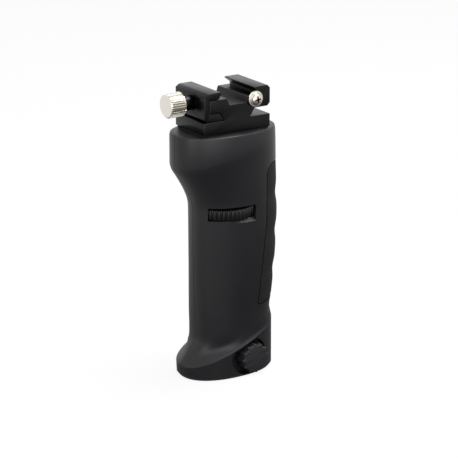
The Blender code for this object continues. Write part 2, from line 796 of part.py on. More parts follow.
def make_shells():
    """The two halves of the handle, parted at Y = 0."""
    hollows = (lower_cavity(), upper_cavity())
    shared = [*hollows, *wheel_openings(), pad_recess(), *bores()]
    foot = foot_opening("foot opening", FOOT_RIM, -OVERRUN, CAVITY_FOOT + SEAT_GAP)
    shared.append(combine(foot, "DIFFERENCE", lock_pocket("kept pocket foot", RUNNING_FIT)))
    wide = 2 * HANDLE_REACH
    tall = 2 * HANDLE_HEIGHT
    for name, side in (("left_shell", -1), ("right_shell", 1)):
        shell = handle_form(name + " form")
        inner, outer = sorted((side * PARTING_GAP / 2, side * wide))
        half = block(name + " half", (-wide, inner, -OVERRUN), (wide, outer, tall))
        combine(shell, "INTERSECT", half)
        combine(shell, "DIFFERENCE", *shared, *screw_holes(side), window_scoop(side))
        if side < 0:
            combine(shell, "DIFFERENCE", lock_recess())
        as_part(shell, name, MOULDED_BLACK)


def pad_rings():
    """The finger pad's outer form: the handle's sections with the finger grooves worked in."""
    low = PAD_FOOT - OVERRUN
    high = PAD_TOP + OVERRUN
    rings = []
    for k in range(PAD_STEPS + 1):
        height = low + (high - low) * k / PAD_STEPS
        station = station_at(height)
        turn = math.tau * (height - GROOVE_FOOT) / GROOVE_PITCH
        wave = ((1 + math.cos(turn)) / 2) ** GROOVE_SHARPNESS
        highest = GROOVE_FOOT + GROOVES_ABOVE_FOOT * GROOVE_PITCH
        inside = GROOVE_FOOT - GROOVE_PITCH < height < highest
        rings.append(station.ring(RING_POINTS, 0, GROOVE_DEPTH * wave if inside else 0))
    return rings


def make_finger_pad():
    """The rubber pad with its finger grooves, let into the front of both shells."""
    pad = loft("finger pad form", pad_rings())
    combine(pad, "INTERSECT", pad_prism("pad edge", -ASSEMBLY_GAP / 2))
    combine(pad, "DIFFERENCE", handle_form("pad inside", PAD_THICKNESS))
    as_part(pad, "finger_pad", SOFT_RUBBER)


def make_wheel():
    """The ribbed thumb wheel with the stud that it turns, and the washers and bushes about them."""
    outline = toothed(WHEEL_RADIUS, WHEEL_RIB_DEPTH, WHEEL_RIBS, *WHEEL_RIB_SHARES)
    wheel = extruded("wheel blank", outline, WHEEL_THICKNESS, (0, 0, WHEEL_MIDDLE), "XY")
    bore = rod("wheel bore", STUD_BORE, (0, 0, LOWER_WEB_FOOT), (0, 0, UPPER_WEB_TOP))
    combine(wheel, "DIFFERENCE", bore)
    as_part(wheel, "thumb_wheel", MOULDED_BLACK)

    foot = LOWER_WEB_FOOT + SEAT_GAP
    tip = CLAMP_FOOT + STUD_ENTRY
    profile = (
        (0, tip),
        (STUD_RADIUS - STUD_TIP_CHAMFER, tip),
        (STUD_RADIUS, tip - STUD_TIP_CHAMFER),
        (STUD_RADIUS, foot),
        (0, foot),
    )
    stud = as_part(turned("stud blank", profile, (0, 0, 0)), "clamp_stud", STEEL)
    joint_empty("wheel_axis", (0, 0, WHEEL_MIDDLE), wheel, stud)

    rim = STUD_BORE + WASHER_RIM
    for name, low, thickness in (
        ("lower_thrust_washer", CHAMBER_FOOT + SEAT_GAP, LOWER_WASHER),
        ("upper_thrust_washer", WHEEL_TOP + SEAT_GAP, UPPER_WASHER),
    ):
        profile = ((STUD_BORE, thickness), (rim, thickness), (rim, 0), (STUD_BORE, 0))
        as_part(turned(name + " blank", profile, (0, 0, low), ring=True), name, NYLON)

    bush_top = CHAMBER_FOOT - SEAT_GAP
    profile = (
        (STUD_BORE, bush_top),
        (BUSH_RADIUS, bush_top),
        (BUSH_RADIUS, LOWER_WEB_FOOT),
        (STUD_BORE, LOWER_WEB_FOOT),
    )
    as_part(turned("lower bush blank", profile, (0, 0, 0), ring=True), "lower_bush", BRASS)

    bush_top = HANDLE_HEIGHT - SEAT_GAP
    flange = BUSH_RADIUS + BUSH_FLANGE_RIM
    bush_foot = HANDLE_HEIGHT - BUSH_LENGTH
    profile = (
        (STUD_BORE, bush_top),
        (flange, bush_top),
        (flange, bush_top - BUSH_FLANGE + SEAT_GAP),
        (BUSH_RADIUS, bush_top - BUSH_FLANGE + SEAT_GAP),
        (BUSH_RADIUS, bush_foot),
        (STUD_BORE, bush_foot),
    )
    as_part(turned("top bush blank", profile, (0, 0, 0), ring=True), "top_bush", BRASS)


def make_foot():
    """The foot plate, the pin socket and the lock screw with its knob, insert and pressure pad."""
    plate = foot_opening("foot plate blank", FOOT_RIM + ASSEMBLY_GAP, 0, FOOT_PLATE)
    pocket = lock_pocket("plate pocket", RUNNING_FIT + ASSEMBLY_GAP)
    hole = rod(
        "plate hole",
        SOCKET_OUTSIDE + ASSEMBLY_GAP,
        (SOCKET_PLACE, 0, -OVERRUN),
        (SOCKET_PLACE, 0, OVERRUN + FOOT_PLATE),
        FINE_SEGMENTS,
    )
    combine(plate, "DIFFERENCE", pocket, hole)
    sunk = FOOT_SCREW_HEAD_HEIGHT + SEAT_GAP
    for k, (x, y) in enumerate(FOOT_SCREW_PLACES):
        shank = FOOT_SCREW_RADIUS + RUNNING_FIT
        head = FOOT_SCREW_HEAD + RUNNING_FIT
        top = FOOT_PLATE + OVERRUN
        combine(
            plate,
            "DIFFERENCE",
            rod(f"plate screw hole {k}", shank, (x, y, -OVERRUN), (x, y, top), SMALL_SEGMENTS),
            rod(f"plate head seat {k}", head, (x, y, -OVERRUN), (x, y, sunk), SMALL_SEGMENTS),
        )
        screw = pan_screw(
            f"foot screw {k}",
            (x, y, sunk - SEAT_GAP),
            "-Z",
            FOOT_SCREW_HEAD,
            FOOT_SCREW_HEAD_HEIGHT,
            FOOT_SCREW_RADIUS,
            FOOT_SCREW_LENGTH - sunk,
        )
        as_part(screw, f"foot_screw_{k + 1}", STEEL)
    as_part(plate, "foot_plate", MOULDED_BLACK)

    profile = (
        (0, SOCKET_DEPTH + SOCKET_WALL),
        (SOCKET_OUTSIDE, SOCKET_DEPTH + SOCKET_WALL),
        (SOCKET_OUTSIDE, 0),
        (SOCKET_RADIUS, 0),
        (SOCKET_RADIUS, SOCKET_DEPTH),
        (0, SOCKET_DEPTH),
    )
    socket = turned("socket blank", profile, (SOCKET_PLACE, 0, 0), segments=FINE_SEGMENTS)
    side_hole = rod(
        "socket side hole",
        LOCK_SCREW_BORE,
        (SOCKET_PLACE, -SOCKET_OUTSIDE - OVERRUN, LOCK_HEIGHT),
        (SOCKET_PLACE, 0, LOCK_HEIGHT),
    )
    combine(socket, "DIFFERENCE", side_hole)
    as_part(socket, "pin_socket", STEEL)

    place = (SOCKET_PLACE, 0, LOCK_HEIGHT)
    outer, inner = LOCK_RECESS_FLOOR, SOCKET_OUTSIDE + ASSEMBLY_GAP
    profile = (
        (LOCK_SCREW_BORE, outer),
        (LOCK_INSERT_RADIUS, outer),
        (LOCK_INSERT_RADIUS, inner),
        (LOCK_SCREW_BORE, inner),
    )
    insert = turned("insert blank", profile, place, "-Y", ring=True)
    as_part(insert, "lock_insert", BRASS)

    pad_face = SOCKET_RADIUS + SEAT_GAP
    pad_back = pad_face + LOCK_PAD_THICKNESS
    chamfer = LOCK_PAD_THICKNESS / 4
    profile = (
        (0, pad_back),
        (LOCK_PAD_RADIUS, pad_back),
        (LOCK_PAD_RADIUS, pad_face + chamfer),
        (LOCK_PAD_RADIUS - chamfer, pad_face),
        (0, pad_face),
    )
    pad = as_part(turned("lock pad blank", profile, place, "-Y"), "lock_pad", NYLON)
    joint_empty("lock_pad_axis", place, pad)

    outline = toothed(LOCK_KNOB_RADIUS, LOCK_KNOB_NOTCH, LOCK_KNOB_LOBES, *LOCK_LOBE_SHARES)
    middle = (SOCKET_PLACE, (LOCK_KNOB_BACK + LOCK_KNOB_FRONT) / 2, LOCK_HEIGHT)
    knob = extruded("lock knob blank", outline, LOCK_KNOB_THICKNESS, middle)
    front, back = -LOCK_KNOB_FRONT, -LOCK_KNOB_BACK
    chamfered_knob(knob, LOCK_KNOB_RADIUS, LOCK_KNOB_CHAMFER, back, front, place, "-Y")
    grip = back + LOCK_SCREW_GRIP
    bore_end = (SOCKET_PLACE, -grip, LOCK_HEIGHT)
    bore = rod("lock knob bore", LOCK_SCREW_BORE, place, bore_end)
    combine(knob, "DIFFERENCE", bore)
    as_part(knob, "lock_knob", MOULDED_BLACK)
    screw_foot = pad_back + SEAT_GAP
    screw_head = grip - SEAT_GAP
    profile = (
        (0, screw_head),
        (LOCK_SCREW_RADIUS, screw_head),
        (LOCK_SCREW_RADIUS, screw_foot + chamfer),
        (LOCK_SCREW_RADIUS - chamfer, screw_foot),
        (0, screw_foot),
    )
    screw = as_part(turned("lock screw blank", profile, place, "-Y"), "lock_screw", STEEL)
    joint_empty("lock_knob_axis", place, knob, screw)


def clamp_profile():
    """The clamp body in end view, as (x, height) points from its underside, clockwise."""
    root = RAIL_SEAT + LIP_ROOT_RISE
    return [
        (-CLAMP_HALF_WIDTH + CLAMP_PLATE_CHAMFER, 0),
        (-CLAMP_HALF_WIDTH, CLAMP_PLATE_CHAMFER),
        (-CLAMP_HALF_WIDTH, CLAMP_PLATE),
        (-NECK_LOW, CLAMP_PLATE),
        (-NECK_HIGH, TONGUE_FOOT),
        (-TONGUE_REACH, TONGUE_FOOT),
        (-TONGUE_REACH, RAIL_SEAT),
        (-CHANNEL_TOP, RAIL_SEAT),
        (-CHANNEL_FOOT, CHANNEL_FLOOR),
        (CHANNEL_FOOT, CHANNEL_FLOOR),
        (FIXED_CHANNEL_TOP, FIXED_SEAT),
        (LIP_ROOT, FIXED_SEAT),
        (LIP_ROOT, root),
        (LIP_TIP, JAW_TOP - LIP_EDGE),
        (LIP_TIP, JAW_TOP),
        (CLAMP_HALF_WIDTH - FIXED_JAW_CHAMFER, JAW_TOP),
        (CLAMP_HALF_WIDTH, JAW_TOP - FIXED_JAW_CHAMFER),
        (CLAMP_HALF_WIDTH, FIXED_JAW_FOOT + FIXED_JAW_CHAMFER),
        (CLAMP_HALF_WIDTH - FIXED_JAW_CHAMFER, FIXED_JAW_FOOT),
        (NECK_HIGH, FIXED_JAW_FOOT),
        (NECK_LOW, CLAMP_PLATE),
        (CLAMP_HALF_WIDTH, CLAMP_PLATE),
        (CLAMP_HALF_WIDTH, CLAMP_PLATE_CHAMFER),
        (CLAMP_HALF_WIDTH - CLAMP_PLATE_CHAMFER, 0),
    ]


def jaw_profile():
    """The moving jaw in end view: it wraps the body's tongue and hooks under it."""
    gap = JAW_CLEARANCE
    foot = CLAMP_PLATE + gap
    hook_top = TONGUE_FOOT - gap
    lean = (NECK_HIGH - NECK_LOW) / (TONGUE_FOOT - CLAMP_PLATE)
    side_gap = gap * math.hypot(1, lean)
    hook_low = NECK_LOW + lean * (foot - CLAMP_PLATE) + side_gap
    hook_high = NECK_LOW + lean * (hook_top - CLAMP_PLATE) + side_gap
    over = RAIL_SEAT + gap
    return [
        (-JAW_LIP_TIP - LIP_EDGE, JAW_TOP),
        (-JAW_LIP_TIP, JAW_TOP - LIP_EDGE),
        (-JAW_LIP_TIP, JAW_TOP - 2 * LIP_EDGE),
        (-JAW_LIP_ROOT, over),
        (-TONGUE_REACH - gap, over),
        (-TONGUE_REACH - gap, hook_top),
        (-hook_high, hook_top),
        (-hook_low, foot),
        (-CLAMP_HALF_WIDTH + JAW_FOOT_CHAMFER, foot),
        (-CLAMP_HALF_WIDTH, foot + JAW_FOOT_CHAMFER),
        (-CLAMP_HALF_WIDTH, JAW_TOP - JAW_CORNER_DROP),
        (-CLAMP_HALF_WIDTH + JAW_CORNER_WIDTH, JAW_TOP),
    ]


def make_clamp():
    """The clamp body with its fixed jaw, the moving jaw, and the sheet that they stand on."""
    base = (0, 0, CLAMP_FOOT)
    body = extruded("clamp body blank", clamp_profile(), CLAMP_LENGTH, base)
    bevelled(body, CLAMP_EDGE)
    screw_axis = CLAMP_FOOT + CLAMP_SCREW_HEIGHT
    screw_tip = -TONGUE_REACH + CLAMP_SCREW_GRIP
    stop = (STOP_PLACE, -CLAMP_LENGTH / 2, CLAMP_FOOT + STOP_HEIGHT)
    cuts = [
        rod(
            "stud thread",
            STUD_BORE,
            (0, 0, CLAMP_FOOT - OVERRUN),
            (0, 0, CLAMP_FOOT + STUD_ENTRY + ASSEMBLY_GAP),
        ),
        rod(
            "clamp screw thread",
            CLAMP_SCREW_RADIUS + RUNNING_FIT,
            (-CLAMP_HALF_WIDTH - OVERRUN, 0, screw_axis),
            (screw_tip + ASSEMBLY_GAP, 0, screw_axis),
        ),
        rod(
            "stop screw thread",
            STOP_SCREW_RADIUS + RUNNING_FIT,
            (stop[0], stop[1] - OVERRUN, stop[2]),
            (stop[0], stop[1] + STOP_SCREW_LENGTH + ASSEMBLY_GAP, stop[2]),
            SMALL_SEGMENTS,
        ),
    ]
    for side in (-1, 1):
        start = (side * DOWEL_PLACE, 0, CLAMP_FOOT - OVERRUN)
        end = (side * DOWEL_PLACE, 0, CLAMP_FOOT + DOWEL_ENTRY + ASSEMBLY_GAP)
        cuts.append(
            rod(f"dowel hole {side}", DOWEL_RADIUS + RUNNING_FIT, start, end, SMALL_SEGMENTS)
        )
    combine(body, "DIFFERENCE", *cuts)
    as_part(body, "clamp_body", BLACK_ANODISED)

    washer_face = stop[1] - SEAT_GAP
    bore = STOP_SCREW_RADIUS + RUNNING_FIT
    profile = (
        (bore, STOP_WASHER_THICKNESS),
        (STOP_WASHER_RADIUS, STOP_WASHER_THICKNESS),
        (STOP_WASHER_RADIUS, 0),
        (bore, 0),
    )
    place = (stop[0], washer_face, stop[2])
    washer = turned("stop washer blank", profile, place, "-Y", FINE_SEGMENTS, ring=True)
    as_part(washer, "rail_stop_washer", NICKEL_PLATED)
    seat = washer_face - STOP_WASHER_THICKNESS - SEAT_GAP
    length = STOP_SCREW_LENGTH + STOP_WASHER_THICKNESS
    screw = pan_screw(
        "stop screw blank",
        (stop[0], seat, stop[2]),
        "-Y",
        STOP_HEAD_RADIUS,
        STOP_HEAD_HEIGHT,
        STOP_SCREW_RADIUS,
        length,
    )
    front = seat - STOP_HEAD_HEIGHT
    floor = front + STOP_CROSS_DEPTH
    half = STOP_CROSS_WIDTH / 2
    for k, (across, up) in enumerate(((STOP_CROSS_REACH, half), (half, STOP_CROSS_REACH))):
        low = (stop[0] - across, front - OVERRUN, stop[2] - up)
        high = (stop[0] + across, floor, stop[2] + up)
        combine(screw, "DIFFERENCE", block(f"cross {k}", low, high))
    as_part(screw, "rail_stop_screw", NICKEL_PLATED)
    joint_empty("clamp_lift_axis", base, body, washer, screw)

    jaw = extruded("moving jaw blank", jaw_profile(), CLAMP_LENGTH, base)
    bevelled(jaw, CLAMP_EDGE)
    hole = rod(
        "jaw screw hole",
        CLAMP_SCREW_RADIUS + RUNNING_FIT,
        (-CLAMP_HALF_WIDTH - OVERRUN, 0, screw_axis),
        (-NECK_HIGH, 0, screw_axis),
    )
    combine(jaw, "DIFFERENCE", hole)
    as_part(jaw, "moving_jaw", BLACK_ANODISED)
    spacer_start = CLAMP_HALF_WIDTH + SEAT_GAP
    spacer_end = spacer_start + SPACER_LENGTH
    bore = CLAMP_SCREW_RADIUS + RUNNING_FIT
    profile = (
        (bore, spacer_end),
        (SPACER_RADIUS, spacer_end),
        (SPACER_RADIUS, spacer_start),
        (bore, spacer_start),
    )
    axis = (0, 0, screw_axis)
    spacer = as_part(
        turned("spacer blank", profile, axis, "-X", ring=True), "knob_spacer", BLACK_ANODISED
    )
    joint_empty("jaw_slide_axis", axis, jaw, spacer)

    knob_start = spacer_end + SEAT_GAP
    knob_end = knob_start + KNOB_LENGTH
    outline = toothed(KNOB_RADIUS, KNOB_TOOTH_DEPTH, KNOB_TEETH, *KNOB_TOOTH_SHARES)
    middle = (-(knob_start + knob_end) / 2, 0, screw_axis)
    knob = extruded("knob blank", outline, KNOB_LENGTH, middle, "YZ")
    chamfered_knob(knob, KNOB_RADIUS, KNOB_CHAMFER, knob_start, knob_end, axis, "-X")
    screw_end = knob_start + KNOB_LENGTH / 2
    bore_run = ((-knob_start + OVERRUN, 0, screw_axis), (-screw_end - SEAT_GAP, 0, screw_axis))
    combine(knob, "DIFFERENCE", rod("knob bore", CLAMP_SCREW_RADIUS + RUNNING_FIT, *bore_run))
    as_part(knob, "clamp_knob", NICKEL_PLATED)
    profile = (
        (0, screw_end),
        (CLAMP_SCREW_RADIUS, screw_end),
        (CLAMP_SCREW_RADIUS, -screw_tip),
        (0, -screw_tip),
    )
    screw = as_part(turned("clamp screw blank", profile, axis, "-X"), "clamp_screw", STEEL)
    joint_empty("clamp_knob_axis", axis, knob, screw)


def make_seat():
    """The thin sheet between the clamp and the handle, and the two dowels that stop it turning."""
    across = CLAMP_HALF_WIDTH - SHEET_INSET
    along = CLAMP_LENGTH / 2 - SHEET_INSET
    low = (-across, -along, SHEET_FOOT)
    sheet = block("sheet blank", low, (across, along, SHEET_FOOT + PAD_SHEET))
    under = (0, 0, SHEET_FOOT - OVERRUN)
    over = (0, 0, SHEET_FOOT + OVERRUN)
    combine(sheet, "DIFFERENCE", rod("sheet stud hole", STUD_BORE + RUNNING_FIT, under, over))
    foot = CLAMP_FOOT + DOWEL_ENTRY - DOWEL_LENGTH
    for name, side in (("back_dowel", -1), ("front_dowel", 1)):
        x = side * DOWEL_PLACE
        hole = rod(
            name + " sheet hole",
            DOWEL_RADIUS + RUNNING_FIT,
            (x, 0, SHEET_FOOT - OVERRUN),
            (x, 0, SHEET_FOOT + OVERRUN),
            SMALL_SEGMENTS,
        )
        combine(sheet, "DIFFERENCE", hole)
        profile = (
            (0, DOWEL_LENGTH),
            (DOWEL_RADIUS / 2, DOWEL_LENGTH),
            (DOWEL_RADIUS, DOWEL_LENGTH - DOWEL_RADIUS / 2),
            (DOWEL_RADIUS, 0),
            (0, 0),
        )
        dowel = turned(name + " blank", profile, (x, 0, foot), segments=SMALL_SEGMENTS)
        as_part(dowel, name, STEEL)
    as_part(sheet, "seat_sheet", SOFT_RUBBER)


def make_shell_screws():
    """The screws that hold the shells together, all from the far side."""
    for k, (x, z) in enumerate(SHELL_SCREW_PLACES):
        screw = pan_screw(
            f"shell screw {k}",
            (x, SHELL_SCREW_SEAT, z),
            "+Y",
            SHELL_SCREW_HEAD,
            SHELL_SCREW_HEAD_HEIGHT,
            SHELL_SCREW_RADIUS,
            SHELL_SCREW_LENGTH,
        )
        as_part(screw, f"shell_screw_{k + 1}", STEEL)


def centre_on_root():
    """Hangs everything from one empty that centres the whole handle between its two ends."""
    clamp_reach = CLAMP_HALF_WIDTH + SPACER_LENGTH + KNOB_LENGTH + 2 * SEAT_GAP
    pad_reach = max(x for ring in pad_rings() for x, _, _ in ring)
    root = bpy.data.objects.new("handle_root", None)
    root.empty_display_size = HANDLE_REACH
    root.location = ((clamp_reach - pad_reach) / 2, 0, 0)
    parts.objects.link(root)
    for obj in (*parts.objects, *cutters.objects):
        if obj != root and obj.parent is None:
            obj.parent = root


make_shells()
make_finger_pad()
make_wheel()
make_foot()
make_clamp()
make_seat()
make_shell_screws()
centre_on_root()
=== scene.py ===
"""Looks of a flash handle: a moulded grip with a thumb wheel that lifts the rail clamp on its head."""

import logging
import math
from collections.abc import Callable, Iterable
from dataclasses import dataclass, replace
from enum import Enum

import bpy
from mathutils import Euler, Matrix, Vector

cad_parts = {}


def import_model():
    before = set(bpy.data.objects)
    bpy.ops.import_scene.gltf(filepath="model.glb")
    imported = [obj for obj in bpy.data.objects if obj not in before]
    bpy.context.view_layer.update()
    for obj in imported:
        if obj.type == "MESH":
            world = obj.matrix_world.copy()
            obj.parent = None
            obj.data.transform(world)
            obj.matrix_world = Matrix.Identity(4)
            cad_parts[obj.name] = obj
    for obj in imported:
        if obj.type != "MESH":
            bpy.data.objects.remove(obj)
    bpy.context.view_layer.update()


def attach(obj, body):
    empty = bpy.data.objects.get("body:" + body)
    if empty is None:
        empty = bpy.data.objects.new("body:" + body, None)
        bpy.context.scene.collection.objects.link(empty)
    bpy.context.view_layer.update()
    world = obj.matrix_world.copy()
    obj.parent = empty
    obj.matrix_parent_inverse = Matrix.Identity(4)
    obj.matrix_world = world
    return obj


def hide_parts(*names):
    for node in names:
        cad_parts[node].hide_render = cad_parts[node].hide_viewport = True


Colour = tuple[float, float, float, float]
Point = tuple[float, float, float]
Outline = list[tuple[float, float]]
Piece = bpy.types.Object
Tree = bpy.types.NodeTree
Socket = bpy.types.NodeSocket

LOG = logging.getLogger("flash handle")
MM = 0.001

# Sizes that several pieces share. The finger pad faces +X and the lock knob -Y, and AXIS_X is
# where the stud stands. Places along X are counted from there.
AXIS_X = 1.69 * MM
HANDLE_HEIGHT = 119.6 * MM
CREASE_SHARE = 0.1263
CREASE_SLOPE = 0.39
CLAMP_FOOT = 120.1 * MM
CLAMP_HALF_LENGTH = 12.5 * MM
SCREW_AXIS = CLAMP_FOOT + 13.8 * MM
WHEEL_RADIUS = 15.5 * MM
LOCK_PLACE = 7.7 * MM
LOCK_HEIGHT = 8.4 * MM

# How far cuts run past what they cut, and the hair's gap between pieces that touch.
OVERLAP = 1 * MM
OVERRUN = 4 * MM
ACROSS = 21 * MM
OUTSIDE = 30 * MM
BEYOND = 60 * MM
ABOVE_ALL = 200 * MM
HAIR = 0.05 * MM

# The least distance between two points of a mesh, and of a CAD solid's copy.
MERGE = 0.001 * MM
CAD_MERGE = 0.002 * MM

# How far a CAD solid's facets may lean apart and still be one flat face.
FLAT = math.radians(1.5)


class Side(Enum):
    """The two halves of the handle, by the way they face along Y."""

    NEAR = -1
    FAR = 1


class Pick(Enum):
    """What an edit-mode tool works on."""

    POINTS = "VERT"
    FACES = "FACE"


class Join(Enum):
    """What a tool does to the piece that it is combined with."""

    CUT = "DIFFERENCE"
    KEEP = "INTERSECT"


class Way(Enum):
    """The way that the top of a turned or toothed piece faces."""

    UP = (0.0, 0.0, 0.0)
    DOWN = (math.pi, 0.0, 0.0)
    BACK = (0.0, -math.pi / 2, 0.0)
    NEAR = (math.pi / 2, 0.0, 0.0)
    FAR = (-math.pi / 2, 0.0, 0.0)


# Modelling helpers


def deselect() -> None:
    """Leaves object mode on, with nothing selected."""
    if bpy.context.mode != "OBJECT":
        bpy.ops.object.mode_set(mode="OBJECT")
    bpy.ops.object.select_all(action="DESELECT")


def take(piece: Piece) -> None:
    """Makes one piece the only one selected, and the active one.

    Args:
        piece: The piece.
    """
    deselect()
    piece.select_set(True)
    bpy.context.view_layer.objects.active = piece


def added(name: str) -> Piece:
    """Names the primitive that was just added and puts its place in its mesh.

    Args:
        name: The piece's name.

    Returns:
        The piece, alone selected and active.
    """
    piece = bpy.context.object
    piece.name = name
    piece.data.name = name
    take(piece)
    bpy.ops.object.transform_apply(location=True, rotation=True, scale=True)
    return piece


def placed(piece: Piece, place: Point, way: Way = Way.UP, turn: float = 0.0) -> Piece:
    """Turns and moves a piece that was made about the origin, and puts that in its mesh.

    Args:
        piece: The piece, made upright at the origin.
        place: Where its origin goes.
        way: The way its top then faces.
        turn: How far it is first turned about its own axis, in radians.

    Returns:
        The piece.
    """
    turned_so = Euler(way.value).to_matrix().to_4x4() @ Matrix.Rotation(turn, 4, "Z")
    piece.matrix_world = Matrix.Translation(place) @ turned_so
    take(piece)
    bpy.ops.object.transform_apply(location=True, rotation=True, scale=True)
    return piece


def pick(piece: Piece, kind: Pick, test: Callable[[Vector], bool]) -> None:
    """Opens a piece in edit mode with only what passes a test selected.

    Args:
        piece: The piece.
        kind: Whether points or faces are picked.
        test: Told the middle of each one, says whether it is picked.
    """
    take(piece)
    bpy.ops.object.mode_set(mode="EDIT")
    bpy.ops.mesh.select_mode(type=kind.value)
    bpy.ops.mesh.select_all(action="DESELECT")
    bpy.ops.object.mode_set(mode="OBJECT")
    mesh = piece.data
    if kind is Pick.POINTS:
        for point in mesh.vertices:
            point.select = test(point.co)
    else:
        for face in mesh.polygons:
            face.select = test(face.center)
    bpy.ops.object.mode_set(mode="EDIT")


def pick_all(piece: Piece) -> None:
    """Opens a piece in edit mode with all of it selected.

    Args:
        piece: The piece.
    """
    take(piece)
    bpy.ops.object.mode_set(mode="EDIT")
    bpy.ops.mesh.select_all(action="SELECT")


def outward(piece: Piece) -> Piece:
    """Turns a closed piece's faces outwards.

    Args:
        piece: The piece.

    Returns:
        The piece, back in object mode.
    """
    pick_all(piece)
    bpy.ops.mesh.remove_doubles(threshold=MERGE)
    bpy.ops.mesh.normals_make_consistent(inside=False)
    deselect()
    return piece


def combine(piece: Piece, join: Join, *tools: Piece) -> Piece:
    """Cuts tools out of a piece, or keeps what they share, and removes the tools.

    Args:
        piece: The piece.
        join: Whether the tools cut or keep.
        tools: The shapes to work with.

    Returns:
        The piece.
    """
    for tool in tools:
        work = piece.modifiers.new("cut", "BOOLEAN")
        work.operation = join.value
        work.solver = "EXACT"
        work.object = tool
        take(piece)
        bpy.ops.object.modifier_apply(modifier=work.name)
        bpy.data.objects.remove(tool, do_unlink=True)
    return piece


def bored(piece: Piece, radius: float, top: float) -> Piece:
    """Bores a hole up the axis of a piece that stands on the origin.

    Args:
        piece: The piece.
        radius: The hole's radius.
        top: How high it goes.

    Returns:
        The piece.
    """
    return combine(piece, Join.CUT, rod("bore", radius, (0, 0, -OVERLAP), (0, 0, top)))


def extrude(*step: float) -> None:
    """Extrudes what is selected in edit mode by a step along X, Y and Z."""
    bpy.ops.mesh.extrude_region_move(TRANSFORM_OT_translate={"value": step})


def eased(piece: Piece, width: float, segments: int = 2, angle: float = 35.0) -> Piece:
    """Rounds a piece's sharp edges with a bevel.

    Args:
        piece: The piece.
        width: The bevel's width.
        segments: How many facets the bevel has.
        angle: The least angle of an edge that is rounded, in degrees.

    Returns:
        The piece.
    """
    work = piece.modifiers.new("ease", "BEVEL")
    work.width = width
    work.segments = segments
    work.limit_method = "ANGLE"
    work.angle_limit = math.radians(angle)
    work.miter_outer = "MITER_ARC"
    take(piece)
    bpy.ops.object.modifier_apply(modifier=work.name)
    return piece


def smoothed(piece: Piece, angle: float = 35.0) -> Piece:
    """Shades a piece smooth, but for its sharp edges.

    Args:
        piece: The piece.
        angle: The least angle of an edge that stays sharp, in degrees.

    Returns:
        The piece.
    """
    take(piece)
    bpy.ops.object.shade_smooth_by_angle(angle=math.radians(angle))
    return piece


def block(name: str, low: Point, high: Point) -> Piece:
    """Adds a block.

    Args:
        name: The block's name.
        low: Its lowest corner.
        high: Its highest corner.

    Returns:
        The block.
    """
    size = tuple(b - a for a, b in zip(low, high))
    middle = tuple((a + b) / 2 for a, b in zip(low, high))
    bpy.ops.mesh.primitive_cube_add(size=1, location=middle, scale=size)
    return added(name)


def rod(name: str, radius: float, start: Point, end: Point, sides: int = 48) -> Piece:
    """Adds a round rod between two points.

    Args:
        name: The rod's name.
        radius: Its radius.
        start: The middle of one end.
        end: The middle of the other end.
        sides: How many sides it has.

    Returns:
        The rod.
    """
    run = Vector(end) - Vector(start)
    bpy.ops.mesh.primitive_cylinder_add(
        vertices=sides,
        radius=radius,
        depth=run.length,
        location=(Vector(start) + Vector(end)) / 2,
        rotation=run.to_track_quat("Z", "Y").to_euler(),
    )
    return added(name)


def turned(name: str, profile: Iterable[tuple[float, float]], sides: int = 64) -> Piece:
    """Models a turned solid: a disc that is extruded and resized from step to step.

    Args:
        name: The piece's name.
        profile: Radius and height of each step, from the foot up.
        sides: How many sides it has.

    Returns:
        The closed solid about the Z axis.
    """
    steps = list(profile)
    radius, height = steps[0]
    bpy.ops.mesh.primitive_circle_add(
        vertices=sides, radius=radius, location=(0, 0, height), fill_type="NGON"
    )
    piece = added(name)
    pick_all(piece)
    for next_radius, next_height in steps[1:]:
        extrude(0, 0, next_height - height)
        share = next_radius / radius
        bpy.ops.transform.resize(value=(share, share, 1), center_override=(0, 0, next_height))
        radius, height = next_radius, next_height
    return outward(piece)


def toothed(name: str, radius: float, depth: float, teeth: int, slots: int, roots: int) -> Piece:
    """Models a flat disc with equal teeth round its edge.

    Args:
        name: The piece's name.
        radius: Its radius over the teeth.
        depth: How deep the gaps between them are.
        teeth: How many there are.
        slots: How many points each tooth and its gap have round the edge.
        roots: How many of these lie at the bottom of the gap.

    Returns:
        The disc, a single face in the XY plane.
    """
    bpy.ops.mesh.primitive_circle_add(vertices=teeth * slots, radius=radius, fill_type="NGON")
    piece = added(name)

    def in_gap(place: Vector) -> bool:
        """Says whether a point lies at the bottom of a gap."""
        share = math.atan2(place.y, place.x) / math.tau * teeth * slots
        return round(share) % slots >= slots - roots

    pick(piece, Pick.POINTS, in_gap)
    share = 1 - depth / radius
    bpy.ops.transform.resize(value=(share, share, 1), center_override=(0, 0, 0))
    deselect()
    return piece


def raised(piece: Piece, height: float, layers: int = 1) -> Piece:
    """Extrudes a flat face into a solid.

    Args:
        piece: The flat piece in the XY plane.
        height: How thick it gets.
        layers: In how many steps, which leave rings of points to shade by.

    Returns:
        The closed solid, with its foot at zero.
    """
    pick_all(piece)
    for _ in range(layers):
        extrude(0, 0, height / layers)
    return outward(piece)


def cad_copy(node: str, name: str) -> Piece:
    """Copies a CAD node's mesh into a new piece, with its loose triangles merged.

    Args:
        node: The CAD node.
        name: The new piece's name.

    Returns:
        The new piece, its flat faces whole.
    """
    source = bpy.data.objects[node]
    piece = bpy.data.objects.new(name, source.data.copy())
    piece.data.name = name
    piece.data.materials.clear()
    bpy.context.scene.collection.objects.link(piece)
    pick_all(piece)
    bpy.ops.mesh.remove_doubles(threshold=CAD_MERGE)
    bpy.ops.mesh.dissolve_limited(angle_limit=FLAT)
    deselect()
    return piece


# Finishes


